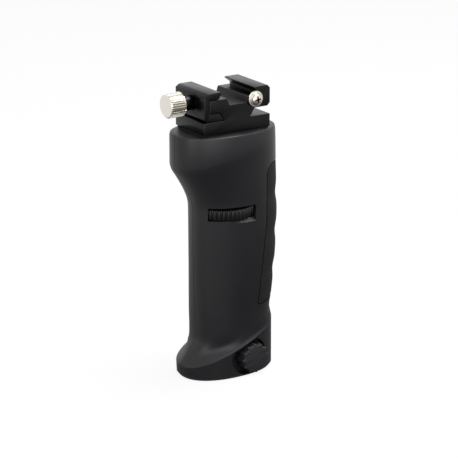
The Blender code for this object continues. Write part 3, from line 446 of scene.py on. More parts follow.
def srgb(code: str) -> Colour:
    """Turns a colour written as hex into the linear colour that a shader takes.

    Args:
        code: Six hex digits, as in an image editor.

    Returns:
        The linear colour with a full alpha.
    """
    channels = [int(code[place : place + 2], 16) / 255 for place in (0, 2, 4)]
    linear = [c / 12.92 if c <= 0.04045 else ((c + 0.055) / 1.055) ** 2.4 for c in channels]
    return (linear[0], linear[1], linear[2], 1.0)


def add_node(
    tree: Tree,
    kind: str,
    settings: dict[str, object] | None = None,
    inputs: dict[str | int, object] | None = None,
) -> bpy.types.Node:
    """Adds a node with its settings and links.

    Args:
        tree: The node tree.
        kind: The shader node's type.
        settings: Its own settings by name.
        inputs: A value or another node's output for each input.

    Returns:
        The node.
    """
    made = tree.nodes.new(f"ShaderNode{kind}")
    for key, value in (settings or {}).items():
        setattr(made, key, value)
    for key, value in (inputs or {}).items():
        if isinstance(value, Socket):
            tree.links.new(value, made.inputs[key])
        else:
            made.inputs[key].default_value = value
    return made


@dataclass(frozen=True)
class Finish:
    """A material: its colours, its shine, the grain that its making leaves, and shade painted into its
    corners.
    """

    name: str
    slot: str
    colour: str
    mottle: str
    wear: str
    roughness: float
    metallic: float = 0.0
    specular: float = 0.5
    cloud: float = 14 * MM
    cloud_detail: float = 4.0
    grain: float = 0.6 * MM
    grain_detail: float = 2.0
    grain_depth: float = 0.02 * MM
    grain_strength: float = 0.3
    stretch: Point = (1.0, 1.0, 1.0)
    wear_from: float = 0.56
    wear_full: float = 0.75
    uneven: float = 0.05
    # Painted shade: a colour mixed in where the surface is sunk, from the pointiness where it starts to
    # where it is full. It stands in for the shade that falls in corners, roots and grooves.
    painted_shade: str = "0a0a0a"
    painted_shade_below: float = 0.46
    painted_shade_full: float = 0.3
    groove_axis: float = 0.0
    groove_foot: float = 0.0
    groove_top: float = 0.0
    end_from: float = 0.5

    def material(self) -> bpy.types.Material:
        """Builds the material's nodes.

        Returns:
            The material, with mottled colour, worn edges, painted shade in the corners, uneven shine
            and a grain.
        """
        made = bpy.data.materials.new(self.name)
        made.use_nodes = True
        tree = made.node_tree
        shader = tree.nodes["Principled BSDF"].inputs
        shader["Metallic"].default_value = self.metallic
        shader["Specular IOR Level"].default_value = self.specular
        place = add_node(tree, "TexCoord").outputs["Object"]
        spread = add_node(
            tree, "Mapping", inputs={"Vector": place, "Scale": self.stretch}
        ).outputs["Vector"]
        cloud, grain = (
            add_node(
                tree,
                "TexNoise",
                inputs={"Vector": spread, "Scale": 1 / size, "Detail": detail},
            ).outputs["Fac"]
            for size, detail in (
                (self.cloud, self.cloud_detail),
                (self.grain, self.grain_detail),
            )
        )
        tree.links.new(self.tint(tree, cloud), shader["Base Color"])
        tree.links.new(self.shine(tree, cloud), shader["Roughness"])
        tree.links.new(self.relief(tree, grain), shader["Normal"])
        return made

    def tint(self, tree: Tree, cloud: Socket) -> Socket:
        """Mixes the colour: mottled all over, paler on rubbed edges, and darker in the corners with
        painted shade.

        Args:
            tree: The material's nodes.
            cloud: The soft pattern that the mottling and the wear follow.

        Returns:
            The colour.
        """
        pointed = add_node(tree, "NewGeometry").outputs["Pointiness"]
        # rubbed picks the pointed edges for wear; sunk picks the sunk corners for painted shade.
        rubbed, sunk = (
            add_node(
                tree,
                "MapRange",
                inputs={"Value": pointed, "From Min": first, "From Max": last},
            ).outputs["Result"]
            for first, last in (
                (self.wear_from, self.wear_full),
                (self.painted_shade_below, self.painted_shade_full),
            )
        )
        if self.groove_top:
            sunk = self.in_grooves(tree, sunk)
        patchy = add_node(
            tree, "Math", {"operation": "MULTIPLY"}, {0: rubbed, 1: cloud}
        ).outputs["Value"]
        colour: Colour | Socket = srgb(self.colour)
        # Mottle, then wear on the edges, then painted shade in the corners.
        for share, other in ((cloud, self.mottle), (patchy, self.wear), (sunk, self.painted_shade)):
            colour = add_node(
                tree,
                "Mix",
                {"data_type": "RGBA"},
                {0: share, 6: colour, 7: srgb(other)},
            ).outputs[2]
        return colour

    def shine(self, tree: Tree, cloud: Socket) -> Socket:
        """Lets the roughness rise and fall a little with the soft pattern.

        Args:
            tree: The material's nodes.
            cloud: The soft pattern.

        Returns:
            The roughness.
        """
        least, most = self.roughness - self.uneven, self.roughness + self.uneven
        return add_node(
            tree, "MapRange", inputs={"Value": cloud, "To Min": least, "To Max": most}
        ).outputs["Result"]

    def relief(self, tree: Tree, grain: Socket) -> Socket:
        """Raises the grain a little.

        Args:
            tree: The material's nodes.
            grain: The fine pattern.

        Returns:
            The way that the surface faces with its grain.
        """
        return add_node(
            tree,
            "Bump",
            inputs={"Height": grain, "Strength": self.grain_strength, "Distance": self.grain_depth},
        ).outputs["Normal"]

    def in_grooves(self, tree: Tree, sunk: Socket) -> Socket:
        """Adds the grooves of a knurl about an axis along X to the places where shade is painted.

        Args:
            tree: The material's nodes.
            sunk: How deep in a corner a place is.

        Returns:
            The same with the grooves, but not the flat ends of the knob.
        """
        coordinates = add_node(tree, "TexCoord").outputs
        across = add_node(
            tree,
            "Mapping",
            inputs={
                "Vector": coordinates["Object"],
                "Location": (0.0, 0.0, -self.groove_axis),
                "Scale": (0.0, 1.0, 1.0),
            },
        ).outputs["Vector"]
        radius = add_node(tree, "VectorMath", {"operation": "LENGTH"}, {0: across}).outputs["Value"]
        depth = add_node(
            tree,
            "MapRange",
            inputs={
                "Value": radius,
                "From Min": self.groove_foot,
                "From Max": self.groove_top,
                "To Min": 1.0,
                "To Max": 0.0,
            },
        ).outputs["Result"]
        facing = add_node(
            tree, "SeparateXYZ", inputs={"Vector": coordinates["Normal"]}
        ).outputs["X"]
        end = add_node(tree, "Math", {"operation": "ABSOLUTE"}, {0: facing}).outputs["Value"]
        side = add_node(
            tree, "Math", {"operation": "LESS_THAN"}, {0: end, 1: self.end_from}
        ).outputs["Value"]
        grooves = add_node(
            tree, "Math", {"operation": "MULTIPLY"}, {0: depth, 1: side}
        ).outputs["Value"]
        return add_node(
            tree, "Math", {"operation": "MAXIMUM"}, {0: sunk, 1: grooves}
        ).outputs["Value"]


# Moulded ABS from a spark-eroded tool: an even satin charcoal. The real grain of about
# 0.1 mm is drawn at 0.5 mm, so that it shows.
MOULDED_ABS = Finish(
    name="spark-eroded moulded ABS",
    slot="shell_plastic",
    colour="1b1b1e",
    mottle="202023",
    wear="37373c",
    roughness=0.4,
    specular=0.36,
    grain=0.5 * MM,
    grain_strength=0.25,
)
# The same plastic in a polished tool, a shade deeper, for the wheel.
WHEEL_ABS = Finish(
    name="moulded ABS wheel",
    slot="wheel_plastic",
    colour="0e0e10",
    mottle="141416",
    wear="303034",
    roughness=0.38,
    specular=0.35,
    grain=0.4 * MM,
    grain_strength=0.2,
)
# The knob's plastic: the same charcoal and more matt than the shells, but painted a little paler, as
# light on its sides that the recess shades, and with less shade painted into its corners.
KNOB_ABS_PAINTED_PALER = Finish(
    name="moulded ABS knob, painted paler",
    slot="shell_plastic",
    colour="242427",
    mottle="2b2b2e",
    wear="323236",
    roughness=0.44,
    specular=0.36,
    grain=0.5 * MM,
    grain_strength=0.25,
    painted_shade_below=0.34,
    painted_shade_full=0.2,
)
# Moulded rubber: a dead matt black with a pebbled grain of about 0.3 mm, drawn at 0.7 mm.
MOULDED_RUBBER = Finish(
    name="moulded rubber",
    slot="pad_rubber",
    colour="1b1b1b",
    mottle="282827",
    wear="383836",
    roughness=0.7,
    specular=0.2,
    cloud=1.4 * MM,
    grain=0.7 * MM,
    grain_depth=0.12 * MM,
    grain_strength=0.9,
)
# Milled aluminium, bead blasted and anodised black: near faces stay deep black, and faces
# seen at a slant turn pale grey.
BLACK_ANODISING = Finish(
    name="black anodised aluminium",
    slot="clamp_black",
    colour="262627",
    mottle="2b2b2c",
    wear="464648",
    roughness=0.31,
    metallic=1.0,
    grain=0.4 * MM,
    grain_strength=0.2,
)
# Bright nickel plate over turned brass: warm and nearly white, with shade painted dark into its
# corners.
NICKEL_PLATE = Finish(
    name="bright nickel plate",
    slot="nickel",
    colour="e6e1d7",
    mottle="dad4c8",
    wear="f0ece4",
    # Shade painted dark into the corners.
    painted_shade="38342c",
    painted_shade_below=0.497,
    painted_shade_full=0.475,
    roughness=0.28,
    metallic=1.0,
    grain=0.5 * MM,
    grain_depth=0.01 * MM,
    grain_strength=0.15,
)
# The same plate on the knurled knob, with a grey shade painted down in the knurl's grooves so that they
# show as dark lines.
KNURLED_NICKEL = replace(
    NICKEL_PLATE,
    name="bright nickel plate, knurled",
    # A grey shade painted into the grooves and the sunk roots.
    painted_shade="959084",
    groove_axis=SCREW_AXIS,
    groove_foot=5.25 * MM,
    groove_top=5.5 * MM,
)
# Turned steel left bare: grey, its fine grain drawn out level as the rings of an upright piece.
TURNED_STEEL = Finish(
    name="turned steel",
    slot="steel",
    colour="8e8e92",
    mottle="7e7e83",
    wear="a9a9ac",
    roughness=0.34,
    metallic=1.0,
    grain=0.3 * MM,
    grain_depth=0.01 * MM,
    stretch=(0.3, 0.3, 2.0),
)
# Turned brass: yellow and slightly dulled, with the same level rings.
TURNED_BRASS = Finish(
    name="turned brass",
    slot="brass",
    colour="b59a5b",
    mottle="a3874b",
    wear="cbb376",
    roughness=0.32,
    metallic=1.0,
    grain=0.3 * MM,
    grain_depth=0.01 * MM,
    stretch=(0.3, 0.3, 2.0),
)
# Natural nylon: a waxy off-white.
NATURAL_NYLON = Finish(
    name="natural nylon",
    slot="nylon",
    colour="d0ccc0",
    mottle="c6c1b2",
    wear="dedace",
    roughness=0.5,
    grain=0.5 * MM,
)


class Workshop:
    """Dresses pieces in their finishes and ties them to the CAD frame."""

    def __init__(self) -> None:
        """Starts with no material made."""
        self.made: dict[str, bpy.types.Material] = {}

    def material(self, finish: Finish) -> bpy.types.Material:
        """Makes a finish's material the first time that it is asked for.

        Args:
            finish: The finish.

        Returns:
            Its material, one for all the pieces that have it.
        """
        if finish.name not in self.made:
            self.made[finish.name] = finish.material()
        return self.made[finish.name]

    def fit(self, piece: Piece, body: str, finish: Finish, *nodes: str) -> None:
        """Dresses a new piece, sets it on its body and lets it stand for CAD nodes.

        Args:
            piece: The new piece.
            body: The CAD body that it rides on.
            finish: Its finish.
            nodes: The CAD nodes that it replaces.
        """
        piece.data.materials.clear()
        piece.data.materials.append(self.material(finish))
        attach(piece, body)
        if nodes:
            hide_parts(*nodes)
        LOG.info("%s: %d faces in %s", piece.name, len(piece.data.polygons), finish.name)

    def dress(self, finish: Finish, *nodes: str) -> None:
        """Gives CAD nodes that stay a better material.

        Args:
            finish: Their finish.
            nodes: Their names.
        """
        for name in nodes:
            node = bpy.data.objects[name]
            for place in node.material_slots:
                place.material = self.material(finish)
            LOG.info("%s: CAD solid in %s", name, finish.name)


# The handle


@dataclass(frozen=True)
class Section:
    """One section of the handle: an oval in a plane that slopes along X."""

    height: float
    slope: float
    back: float
    front: float
    half_width: float
    back_power: float = 2.25
    front_power: float = 2.25

    def ring(self, count: int, inset: float = 0.0, front_inset: float | None = None) -> list[Point]:
        """Places points round the oval.

        Args:
            count: How many points there are.
            inset: How far the oval is drawn in.
            front_inset: How far it is drawn in at the front, where that differs.

        Returns:
            The points in the frame.
        """
        front = self.front - (inset if front_inset is None else front_inset)
        back = self.back - inset
        reach, centre = (front + back) / 2, (front - back) / 2
        points = []
        for k in range(count):
            u, v = math.cos(math.tau * k / count), math.sin(math.tau * k / count)
            power = self.front_power if u > 0 else self.back_power
            x = centre + reach * math.copysign(abs(u) ** (2 / power), u)
            y = (self.half_width - inset) * math.copysign(abs(v) ** (2 / power), v)
            points.append((x + AXIS_X, y, self.height + self.slope * x))
        return points

    def side_reach(self, x: float) -> float:
        """Says how far the oval reaches to each side.

        Args:
            x: The place along X.

        Returns:
            The reach along Y there.
        """
        reach, centre = (self.front + self.back) / 2, (self.front - self.back) / 2
        share = min(abs((x - centre) / reach), 1)
        power = self.front_power if x > centre else self.back_power
        return self.half_width * (1 - share**power) ** (1 / power)


@dataclass
class HandleForm:
    """The lofted form that the shells and the finger pad share.

    A station holds its height, its slope, its reach to the back and to the front, its half width,
    and the powers of its oval at the back and at the front. Sizes are shares of the handle's.
    """

    reach: float = 27.0 * MM
    half_width: float = 17.05 * MM
    around: int = 96
    step: float = 1.6 * MM
    foot_steps: int = 8
    foot_shares: tuple[tuple[float, ...], ...] = (
        (0.0, 0.0, 0.838, 0.886, 0.862, 2.25, 2.25),
        (0.0117, 0.0, 0.878, 0.926, 0.927, 2.25, 2.25),
    )
    grip_shares: tuple[tuple[float, ...], ...] = (
        (CREASE_SHARE, CREASE_SLOPE, 0.885, 0.922, 0.938, 2.25, 2.25),
        (0.1288, 0.389, 0.882, 0.920, 0.920, 2.15, 2.3),
        (0.1313, 0.388, 0.878, 0.917, 0.907, 2.05, 2.35),
        (0.1338, 0.386, 0.872, 0.914, 0.898, 1.98, 2.39),
        (0.1363, 0.384, 0.864, 0.911, 0.892, 1.91, 2.42),
        (0.1397, 0.380, 0.850, 0.907, 0.887, 1.81, 2.44),
        (0.1447, 0.373, 0.827, 0.902, 0.882, 1.73, 2.45),
        (0.1522, 0.36, 0.782, 0.896, 0.877, 1.69, 2.44),
        (0.1697, 0.33, 0.668, 0.885, 0.868, 2.0, 2.4),
        (0.1856, 0.30, 0.600, 0.876, 0.863, 2.4, 2.36),
        (0.2090, 0.22, 0.583, 0.873, 0.858, 2.6, 2.3),
        (0.2508, 0.10, 0.590, 0.885, 0.856, 2.6, 2.26),
        (0.3094, 0.0, 0.600, 0.922, 0.861, 2.5, 2.25),
        (0.4682, 0.0, 0.618, 0.993, 0.886, 2.25, 2.25),
        (0.6522, 0.0, 0.620, 1.024, 0.900, 2.25, 2.25),
        (0.6940, 0.0, 0.623, 1.022, 0.903, 2.25, 2.25),
        (0.7232, 0.0, 0.648, 1.018, 0.906, 2.25, 2.25),
        (0.7567, 0.0, 0.709, 1.014, 0.915, 2.25, 2.25),
        (0.7985, 0.05, 0.789, 1.004, 0.932, 2.25, 2.25),
        (0.8487, 0.12, 0.885, 0.996, 0.956, 2.25, 2.25),
        (0.8946, 0.18, 0.968, 0.989, 0.985, 2.25, 2.25),
        (0.9164, 0.20, 0.986, 0.983, 1.0, 2.25, 2.25),
    )
    head_shares: tuple[tuple[float, ...], ...] = (
        (0.9883, 0.0, 0.984, 0.974, 1.0, 2.25, 2.25),
        (0.9967, 0.0, 0.974, 0.963, 0.982, 2.25, 2.25),
        (1.0, 0.0, 0.948, 0.937, 0.941, 2.25, 2.25),
    )

    def section(self, shares: tuple[float, ...]) -> Section:
        """Makes a section from a station.

        Args:
            shares: The station.

        Returns:
            The section in metres.
        """
        height, slope, back, front, width, back_power, front_power = shares
        return Section(
            height * HANDLE_HEIGHT,
            slope,
            back * self.reach,
            front * self.reach,
            width * self.half_width,
            back_power,
            front_power,
        )

    def rise(self, place: int, column: int) -> float:
        """Says how fast a share of the grip changes at a station.

        Args:
            place: The station's place among the grip's stations.
            column: Which share.

        Returns:
            The harmonic mean of the slopes on both sides, so that the curve never overshoots. The
            crease and the collar line, at the ends, keep the one slope that they have.
        """
        rows = self.grip_shares
        slopes = [
            (rows[k + 1][column] - rows[k][column]) / (rows[k + 1][0] - rows[k][0])
            for k in (place - 1, place)
            if 0 <= k < len(rows) - 1
        ]
        before, after = slopes[0], slopes[-1]
        return 2 * before * after / (before + after) if before * after > 0 else 0.0

    def station(self, height: float) -> tuple[float, ...]:
        """Reads a station of the grip off the smooth curve through the given ones.

        Args:
            height: A share of the handle's height.

        Returns:
            The station.
        """
        rows = self.grip_shares
        k = max(min(sum(row[0] <= height for row in rows) - 1, len(rows) - 2), 0)
        run = rows[k + 1][0] - rows[k][0]
        share = (height - rows[k][0]) / run
        values = []
        for column in range(1, len(rows[0])):
            ends = [self.rise(place, column) * run for place in (k, k + 1)]
            low, high = rows[k][column], rows[k + 1][column]
            curve = (
                low * (1 + 2 * share) * (1 - share) ** 2
                + ends[0] * share * (1 - share) ** 2
                + high * share**2 * (3 - 2 * share)
                - ends[1] * share**2 * (1 - share)
            )
            values.append(curve)
        return (height, *values)

    def at(self, height: float) -> Section:
        """Makes the grip's section at a height in metres."""
        return self.section(self.station(height / HANDLE_HEIGHT))

    def sections(self, step: float) -> list[Section]:
        """Lists the whole handle's sections from the foot up.

        Args:
            step: The most that two sections of the grip are apart.

        Returns:
            The sections, those of the given stations among them.
        """
        rows = list(self.foot_shares)
        low, high = self.foot_shares[-1], self.grip_shares[0]
        for k in range(1, self.foot_steps + 1):
            rows.append(tuple(a + (b - a) * k / self.foot_steps for a, b in zip(low, high)))
        for low, high in zip(self.grip_shares, self.grip_shares[1:]):
            count = max(math.ceil((high[0] - low[0]) * HANDLE_HEIGHT / step), 1)
            for k in range(1, count + 1):
                rows.append(self.station(low[0] + (high[0] - low[0]) * k / count))
        rows += self.head_shares
        return [self.section(row) for row in rows]

    def loft(self, name: str, rings: list[list[Point]]) -> Piece:
        """Wraps a grid into a closed skin: its columns go round, its rows go up.

        Args:
            name: The piece's name.
            rings: The points of each section, from the foot up.

        Returns:
            The closed skin.
        """
        around, rows = len(rings[0]), len(rings)
        bpy.ops.mesh.primitive_grid_add(x_subdivisions=around, y_subdivisions=rows - 1, size=1)
        skin = added(name)
        for point in skin.data.vertices:
            column = round((point.co.x + 0.5) * around) % around
            row = round((point.co.y + 0.5) * (rows - 1))
            point.co = rings[row][column]
        pick_all(skin)
        bpy.ops.mesh.remove_doubles(threshold=MERGE)
        bpy.ops.mesh.select_all(action="DESELECT")
        bpy.ops.mesh.select_non_manifold(extend=False)
        bpy.ops.mesh.fill_holes(sides=0)
        return outward(skin)

    def whole(self, name: str, inset: float = 0.0) -> Piece:
        """Lofts the whole handle, or the same drawn in.

        Args:
            name: The piece's name.
            inset: How far it is drawn in.

        Returns:
            The closed form.
        """
        return self.loft(name, [s.ring(self.around, inset) for s in self.sections(self.step)])


@dataclass
class PadOutline:
    """The finger pad's edge in side view, and the gaps that it keeps to the shells."""

    edge: float = 15.5 * MM
    edge_foot: float = 10.9 * MM
    top: float = 102.3 * MM
    bend: float = 75.40 * MM
    foot: float = 34.0 * MM
    foot_slope: float = math.radians(5)
    corner: float = 5.4 * MM
    foot_corner: float = 1.0 * MM
    far: float = 54.0 * MM
    recess_gap: float = 0.25 * MM
    pad_gap: float = 0.28 * MM

    def prism(self, name: str, grow: float) -> Piece:
        """Carries the outline right through the handle along Y.

        Args:
            name: The prism's name.
            grow: How far the outline is let out.

        Returns:
            The prism.
        """
        points = [(self.far, self.top + grow)]
        points += self.arc(self.edge + self.corner, self.top - self.corner, self.corner + grow, 90, 180)
        points.append((self.edge - grow, self.bend))
        turn = 270 + math.degrees(self.foot_slope)
        middle = (self.edge_foot + self.foot_corner, self.foot + self.foot_corner)
        points += self.arc(*middle, self.foot_corner + grow, 180, turn)
        last = points[-1]
        points.append((self.far, last[1] + math.tan(self.foot_slope) * (self.far - last[0])))
        return carried_through(name, points, ACROSS)

    @staticmethod
    def arc(x: float, z: float, radius: float, first: float, last: float, steps: int = 10) -> Outline:
        """Places points on an arc.

        Args:
            x: Its middle along X.
            z: Its middle along Z.
            radius: Its radius.
            first: The angle where it starts, in degrees from +X.
            last: The angle where it ends.
            steps: How many steps it takes.

        Returns:
            The points.
        """
        angles = [math.radians(first + (last - first) * k / steps) for k in range(steps + 1)]
        return [(x + radius * math.cos(a), z + radius * math.sin(a)) for a in angles]


def carried_through(name: str, outline: Outline, reach: float) -> Piece:
    """Extrudes an outline in side view to both sides of the handle.

    Args:
        name: The piece's name.
        outline: Its points along X and Z, counted from the stud's axis.
        reach: How far it goes to each side.

    Returns:
        The closed prism.
    """
    bpy.ops.mesh.primitive_circle_add(vertices=len(outline), radius=1, fill_type="NGON")
    piece = added(name)
    for point, (x, z) in zip(piece.data.vertices, outline):
        point.co = (x + AXIS_X, -reach, z)
    pick_all(piece)
    extrude(0, 2 * reach, 0)
    return outward(piece)


@dataclass
class HandleShells:
    """The two moulded halves of the handle, with all that is let into them."""

    form: HandleForm
    pad: PadOutline
    wall: float = 2.2 * MM
    roof: float = 116.4 * MM
    parting: float = 0.004 * MM
    seam_width: float = 0.1 * MM
    seam_depth: float = 0.15 * MM
    room_around: int = 48
    room_step: float = 5 * MM
    chamber_foot: float = 78.195 * MM
    chamber_top: float = 84.445 * MM
    wheel_gap: float = 0.4 * MM
    window_back: float = 13.9 * MM
    window_front: float = 8.6 * MM
    window_lip: float = 1.4 * MM
    web: float = 2.7 * MM
    web_bore_run: float = 6 * MM
    web_bore: float = 3.4 * MM
    pad_depth: float = 2.7 * MM
    plate: float = 3.05 * MM
    foot_rim: float = 3.2 * MM
    recess_radius: float = 10.4 * MM
    recess_shift: float = 2.45 * MM
    recess_floor: float = 10.0 * MM
    recess_wall: float = 1.4 * MM
    recess_lip: float = 0.7 * MM
    scoop_radius: float = 11.5 * MM
    scoop_place: tuple[float, float] = (5.9 * MM, 11.6 * MM)
    crease_lip: float = 0.6 * MM
    insert_bore: float = 4.6 * MM
    insert_floor: float = 5.0 * MM
    socket_bore: float = 7.3 * MM
    socket_top: float = 34.3 * MM
    bush_bore: float = 5.18 * MM
    bush_depth: float = 12 * MM
    flange_bore: float = 6.98 * MM
    flange_depth: float = 1.25 * MM
    lower_bush_bore: float = 5.2 * MM
    dowel_bore: float = 1.6 * MM
    dowel_reach: float = 11.5 * MM
    screw_places: tuple[tuple[float, float], ...] = (
        (-14.04 * MM, 108.24 * MM),
        (14.04 * MM, 108.24 * MM),
        (-8.37 * MM, 62.19 * MM),
        (5.13 * MM, 43.06 * MM),
        (-10.8 * MM, 14.1 * MM),
    )
    screw_bore: float = 1.5 * MM
    screw_bore_end: float = 1.0 * MM
    head_bore: float = 3.0 * MM
    head_seat: float = 9.75 * MM

    def slab(self, name: str, low: float, high: float) -> Piece:
        """Makes a slab across the whole handle between two heights."""
        return block(name, (-BEYOND, -BEYOND, low), (BEYOND, BEYOND, high))

    def lock_rod(self, name: str, radius: float, depth: float, back: float = 0.0) -> Piece:
        """Makes a rod from outside the near shell inwards, along the lock screw.

        Args:
            name: The rod's name.
            radius: Its radius.
            depth: How far from the middle of the handle it ends.
            back: How far it lies behind the lock screw's axis.

        Returns:
            The rod.
        """
        x = LOCK_PLACE - back + AXIS_X
        return rod(name, radius, *((x, y, LOCK_HEIGHT) for y in (-OUTSIDE, -depth)), sides=64)

    def pocket(self, name: str) -> Piece:
        """Makes the solid ground about the lock knob's recess."""
        radius, depth = self.recess_radius + self.recess_wall, self.recess_floor - self.recess_wall
        return self.lock_rod(name, radius, depth, self.recess_shift)

    def hollow(self, low: float, high: float) -> Piece:
        """Makes the room inside the wall between two heights.

        Args:
            low: Its floor.
            high: Its ceiling.

        Returns:
            The room.
        """
        front_wall = self.pad_depth + self.wall
        stations = self.form.sections(self.room_step)
        rings = [s.ring(self.room_around, self.wall, front_wall) for s in stations]
        room = self.form.loft("room inside", rings)
        return combine(room, Join.KEEP, self.slab("room range", low, high))

    def seam(self) -> Piece:
        """Makes the fine groove that the parting of the two halves leaves in the skin."""
        width = self.seam_width
        groove = block("seam", (-BEYOND, -width, -OVERLAP), (BEYOND, width, ABOVE_ALL))
        return combine(groove, Join.CUT, self.form.whole("seam floor", self.seam_depth))

    def window(self) -> list[Piece]:
        """Makes the wheel's chamber and the two windows onto it.

        Returns:
            The chamber, and a block through both windows that leaves the chamber's middle alone.
        """
        foot, top = self.chamber_foot, self.chamber_top
        ends = ((AXIS_X, 0, foot), (AXIS_X, 0, top))
        chamber = rod("wheel chamber", WHEEL_RADIUS + self.wheel_gap, *ends, sides=96)
        opening = block(
            "wheel window",
            (AXIS_X - self.window_back, -ACROSS, foot - HAIR),
            (AXIS_X + self.window_front, ACROSS, top + HAIR),
        )
        core_ends = ((AXIS_X, 0, foot - OVERRUN), (AXIS_X, 0, top + OVERRUN))
        core = rod("window core", WHEEL_RADIUS - self.wall, *core_ends, sides=96)
        return [chamber, combine(opening, Join.CUT, core)]

    def scoop(self, side: Side) -> Piece:
        """Makes the cut at 45 degrees that eases the window's lower edge.

        Args:
            side: The side that the window is on.

        Returns:
            The cutter.
        """
        edge = self.form.at(self.chamber_foot).side_reach(0)
        out = side.value * (edge + OVERRUN)
        inner = side.value * (edge - self.window_lip)
        left, right = AXIS_X - self.window_back, AXIS_X + self.window_front
        foot = self.chamber_foot
        bpy.ops.mesh.primitive_circle_add(vertices=3, radius=1, fill_type="NGON")
        piece = added("window scoop")
        triangle = (
            (left, out, foot - OVERRUN - self.window_lip),
            (left, out, foot + self.window_lip),
            (left, inner, foot + HAIR),
        )
        for point, place in zip(piece.data.vertices, triangle):
            point.co = place
        pick_all(piece)
        extrude(right - left, 0, 0)
        return outward(piece)

    def lock_recess(self) -> Piece:
        """Makes the round recess about the lock knob.

        Returns:
            The cutter, which stays under the crease and over the rim of the sole.
        """
        recess = self.lock_rod("lock recess", self.recess_radius, self.recess_floor, self.recess_shift)
        x, z = self.scoop_place
        ends = ((x + AXIS_X, y, z) for y in (-OUTSIDE, 0))
        combine(recess, Join.KEEP, rod("recess foot", self.scoop_radius, *ends, sides=64))
        shade = block("over the crease", (-BEYOND, -BEYOND, 0), (BEYOND, 0, BEYOND))
        tilt = Matrix.Rotation(-math.atan(CREASE_SLOPE), 4, "Y")
        lift = (AXIS_X, 0, CREASE_SHARE * HANDLE_HEIGHT - self.crease_lip)
        shade.matrix_world = Matrix.Translation(lift) @ tilt
        rim = self.slab("under the rim", -BEYOND, self.recess_lip)
        return combine(recess, Join.CUT, shade, rim)

    def bores(self) -> list[Piece]:
        """Makes the round holes for the stud, its bushes, the dowels and the pin socket.

        Returns:
            The cutters.
        """
        foot, top, out = self.chamber_foot, self.chamber_top, HANDLE_HEIGHT + OVERRUN
        upright = [
            ("top bush bore", self.bush_bore, 0, HANDLE_HEIGHT - self.bush_depth, out),
            ("bush flange bore", self.flange_bore, 0, HANDLE_HEIGHT - self.flange_depth, out),
            ("upper web bore", self.web_bore, 0, top - OVERLAP, top + self.web_bore_run),
            ("lower bush bore", self.lower_bush_bore, 0, foot - self.web_bore_run, foot + OVERLAP),
            ("socket bore", self.socket_bore, LOCK_PLACE, -OVERRUN, self.socket_top),
        ]
        for x in (-self.dowel_reach, self.dowel_reach):
            upright.append(("dowel bore", self.dowel_bore, x, self.roof - OVERRUN, out))
        found = [
            rod(name, radius, (AXIS_X + x, 0, low), (AXIS_X + x, 0, high))
            for name, radius, x, low, high in upright
        ]
        return [*found, self.lock_rod("insert bore", self.insert_bore, self.insert_floor)]

    def screw_seats(self) -> list[Piece]:
        """Makes the holes on the far side with sunk seats for the screws' heads.

        Returns:
            The cutters.
        """
        found = []
        for x, z in self.screw_places:
            ends = (self.screw_bore_end, self.head_seat, OUTSIDE)
            deep, seat, out = ((x + AXIS_X, y, z) for y in ends)
            found.append(rod("screw hole", self.screw_bore, deep, out, sides=24))
            found.append(rod("screw head seat", self.head_bore, seat, out, sides=32))
        return found

    def pad_recess(self) -> Piece:
        """Makes the shallow recess that the finger pad is let into."""
        recess = self.pad.prism("pad recess", self.pad.recess_gap)
        return combine(recess, Join.CUT, self.form.whole("pad seat", self.pad_depth))

    def foot_opening(self) -> Piece:
        """Makes the opening in the sole for the foot plate.

        Returns:
            The cutter, which leaves the ground about the lock knob's recess alone.
        """
        foot = self.form.section(self.form.foot_shares[-1])
        flat = [(x, y) for x, y, _ in foot.ring(self.form.around, self.foot_rim)]
        levels = (-OVERRUN, self.plate)
        opening = self.form.loft("foot opening", [[(x, y, z) for x, y in flat] for z in levels])
        return combine(opening, Join.CUT, self.pocket("kept pocket foot"))

    def shell(self, side: Side) -> Piece:
        """Models one half of the handle.

        Args:
            side: Which half.

        Returns:
            The finished half.
        """
        name = "near_shell_skin" if side is Side.NEAR else "far_shell_skin"
        shell = self.form.whole(name)
        inner, outer = sorted((side.value * self.parting, side.value * BEYOND))
        half = block("half", (-BEYOND, inner, -OVERLAP), (BEYOND, outer, ABOVE_ALL))
        combine(shell, Join.KEEP, half)
        low_room = self.hollow(self.plate, self.chamber_foot - self.web)
        combine(low_room, Join.CUT, self.pocket("kept pocket"))
        cuts = [low_room, self.hollow(self.chamber_top + self.web, self.roof)]
        cuts += [self.pad_recess(), self.foot_opening()]
        cuts += [*self.window(), self.scoop(side), *self.bores(), self.seam()]
        cuts += [self.lock_recess()] if side is Side.NEAR else self.screw_seats()
        combine(shell, Join.CUT, *cuts)
        return smoothed(shell, angle=32)

    def build(self, shop: Workshop) -> None:
        """Builds and dresses both halves.

        Args:
            shop: Dresses them and sets them on their body.
        """
        shop.fit(self.shell(Side.NEAR), "handle", MOULDED_ABS, "left_shell")
        shop.fit(self.shell(Side.FAR), "handle", MOULDED_ABS, "right_shell")


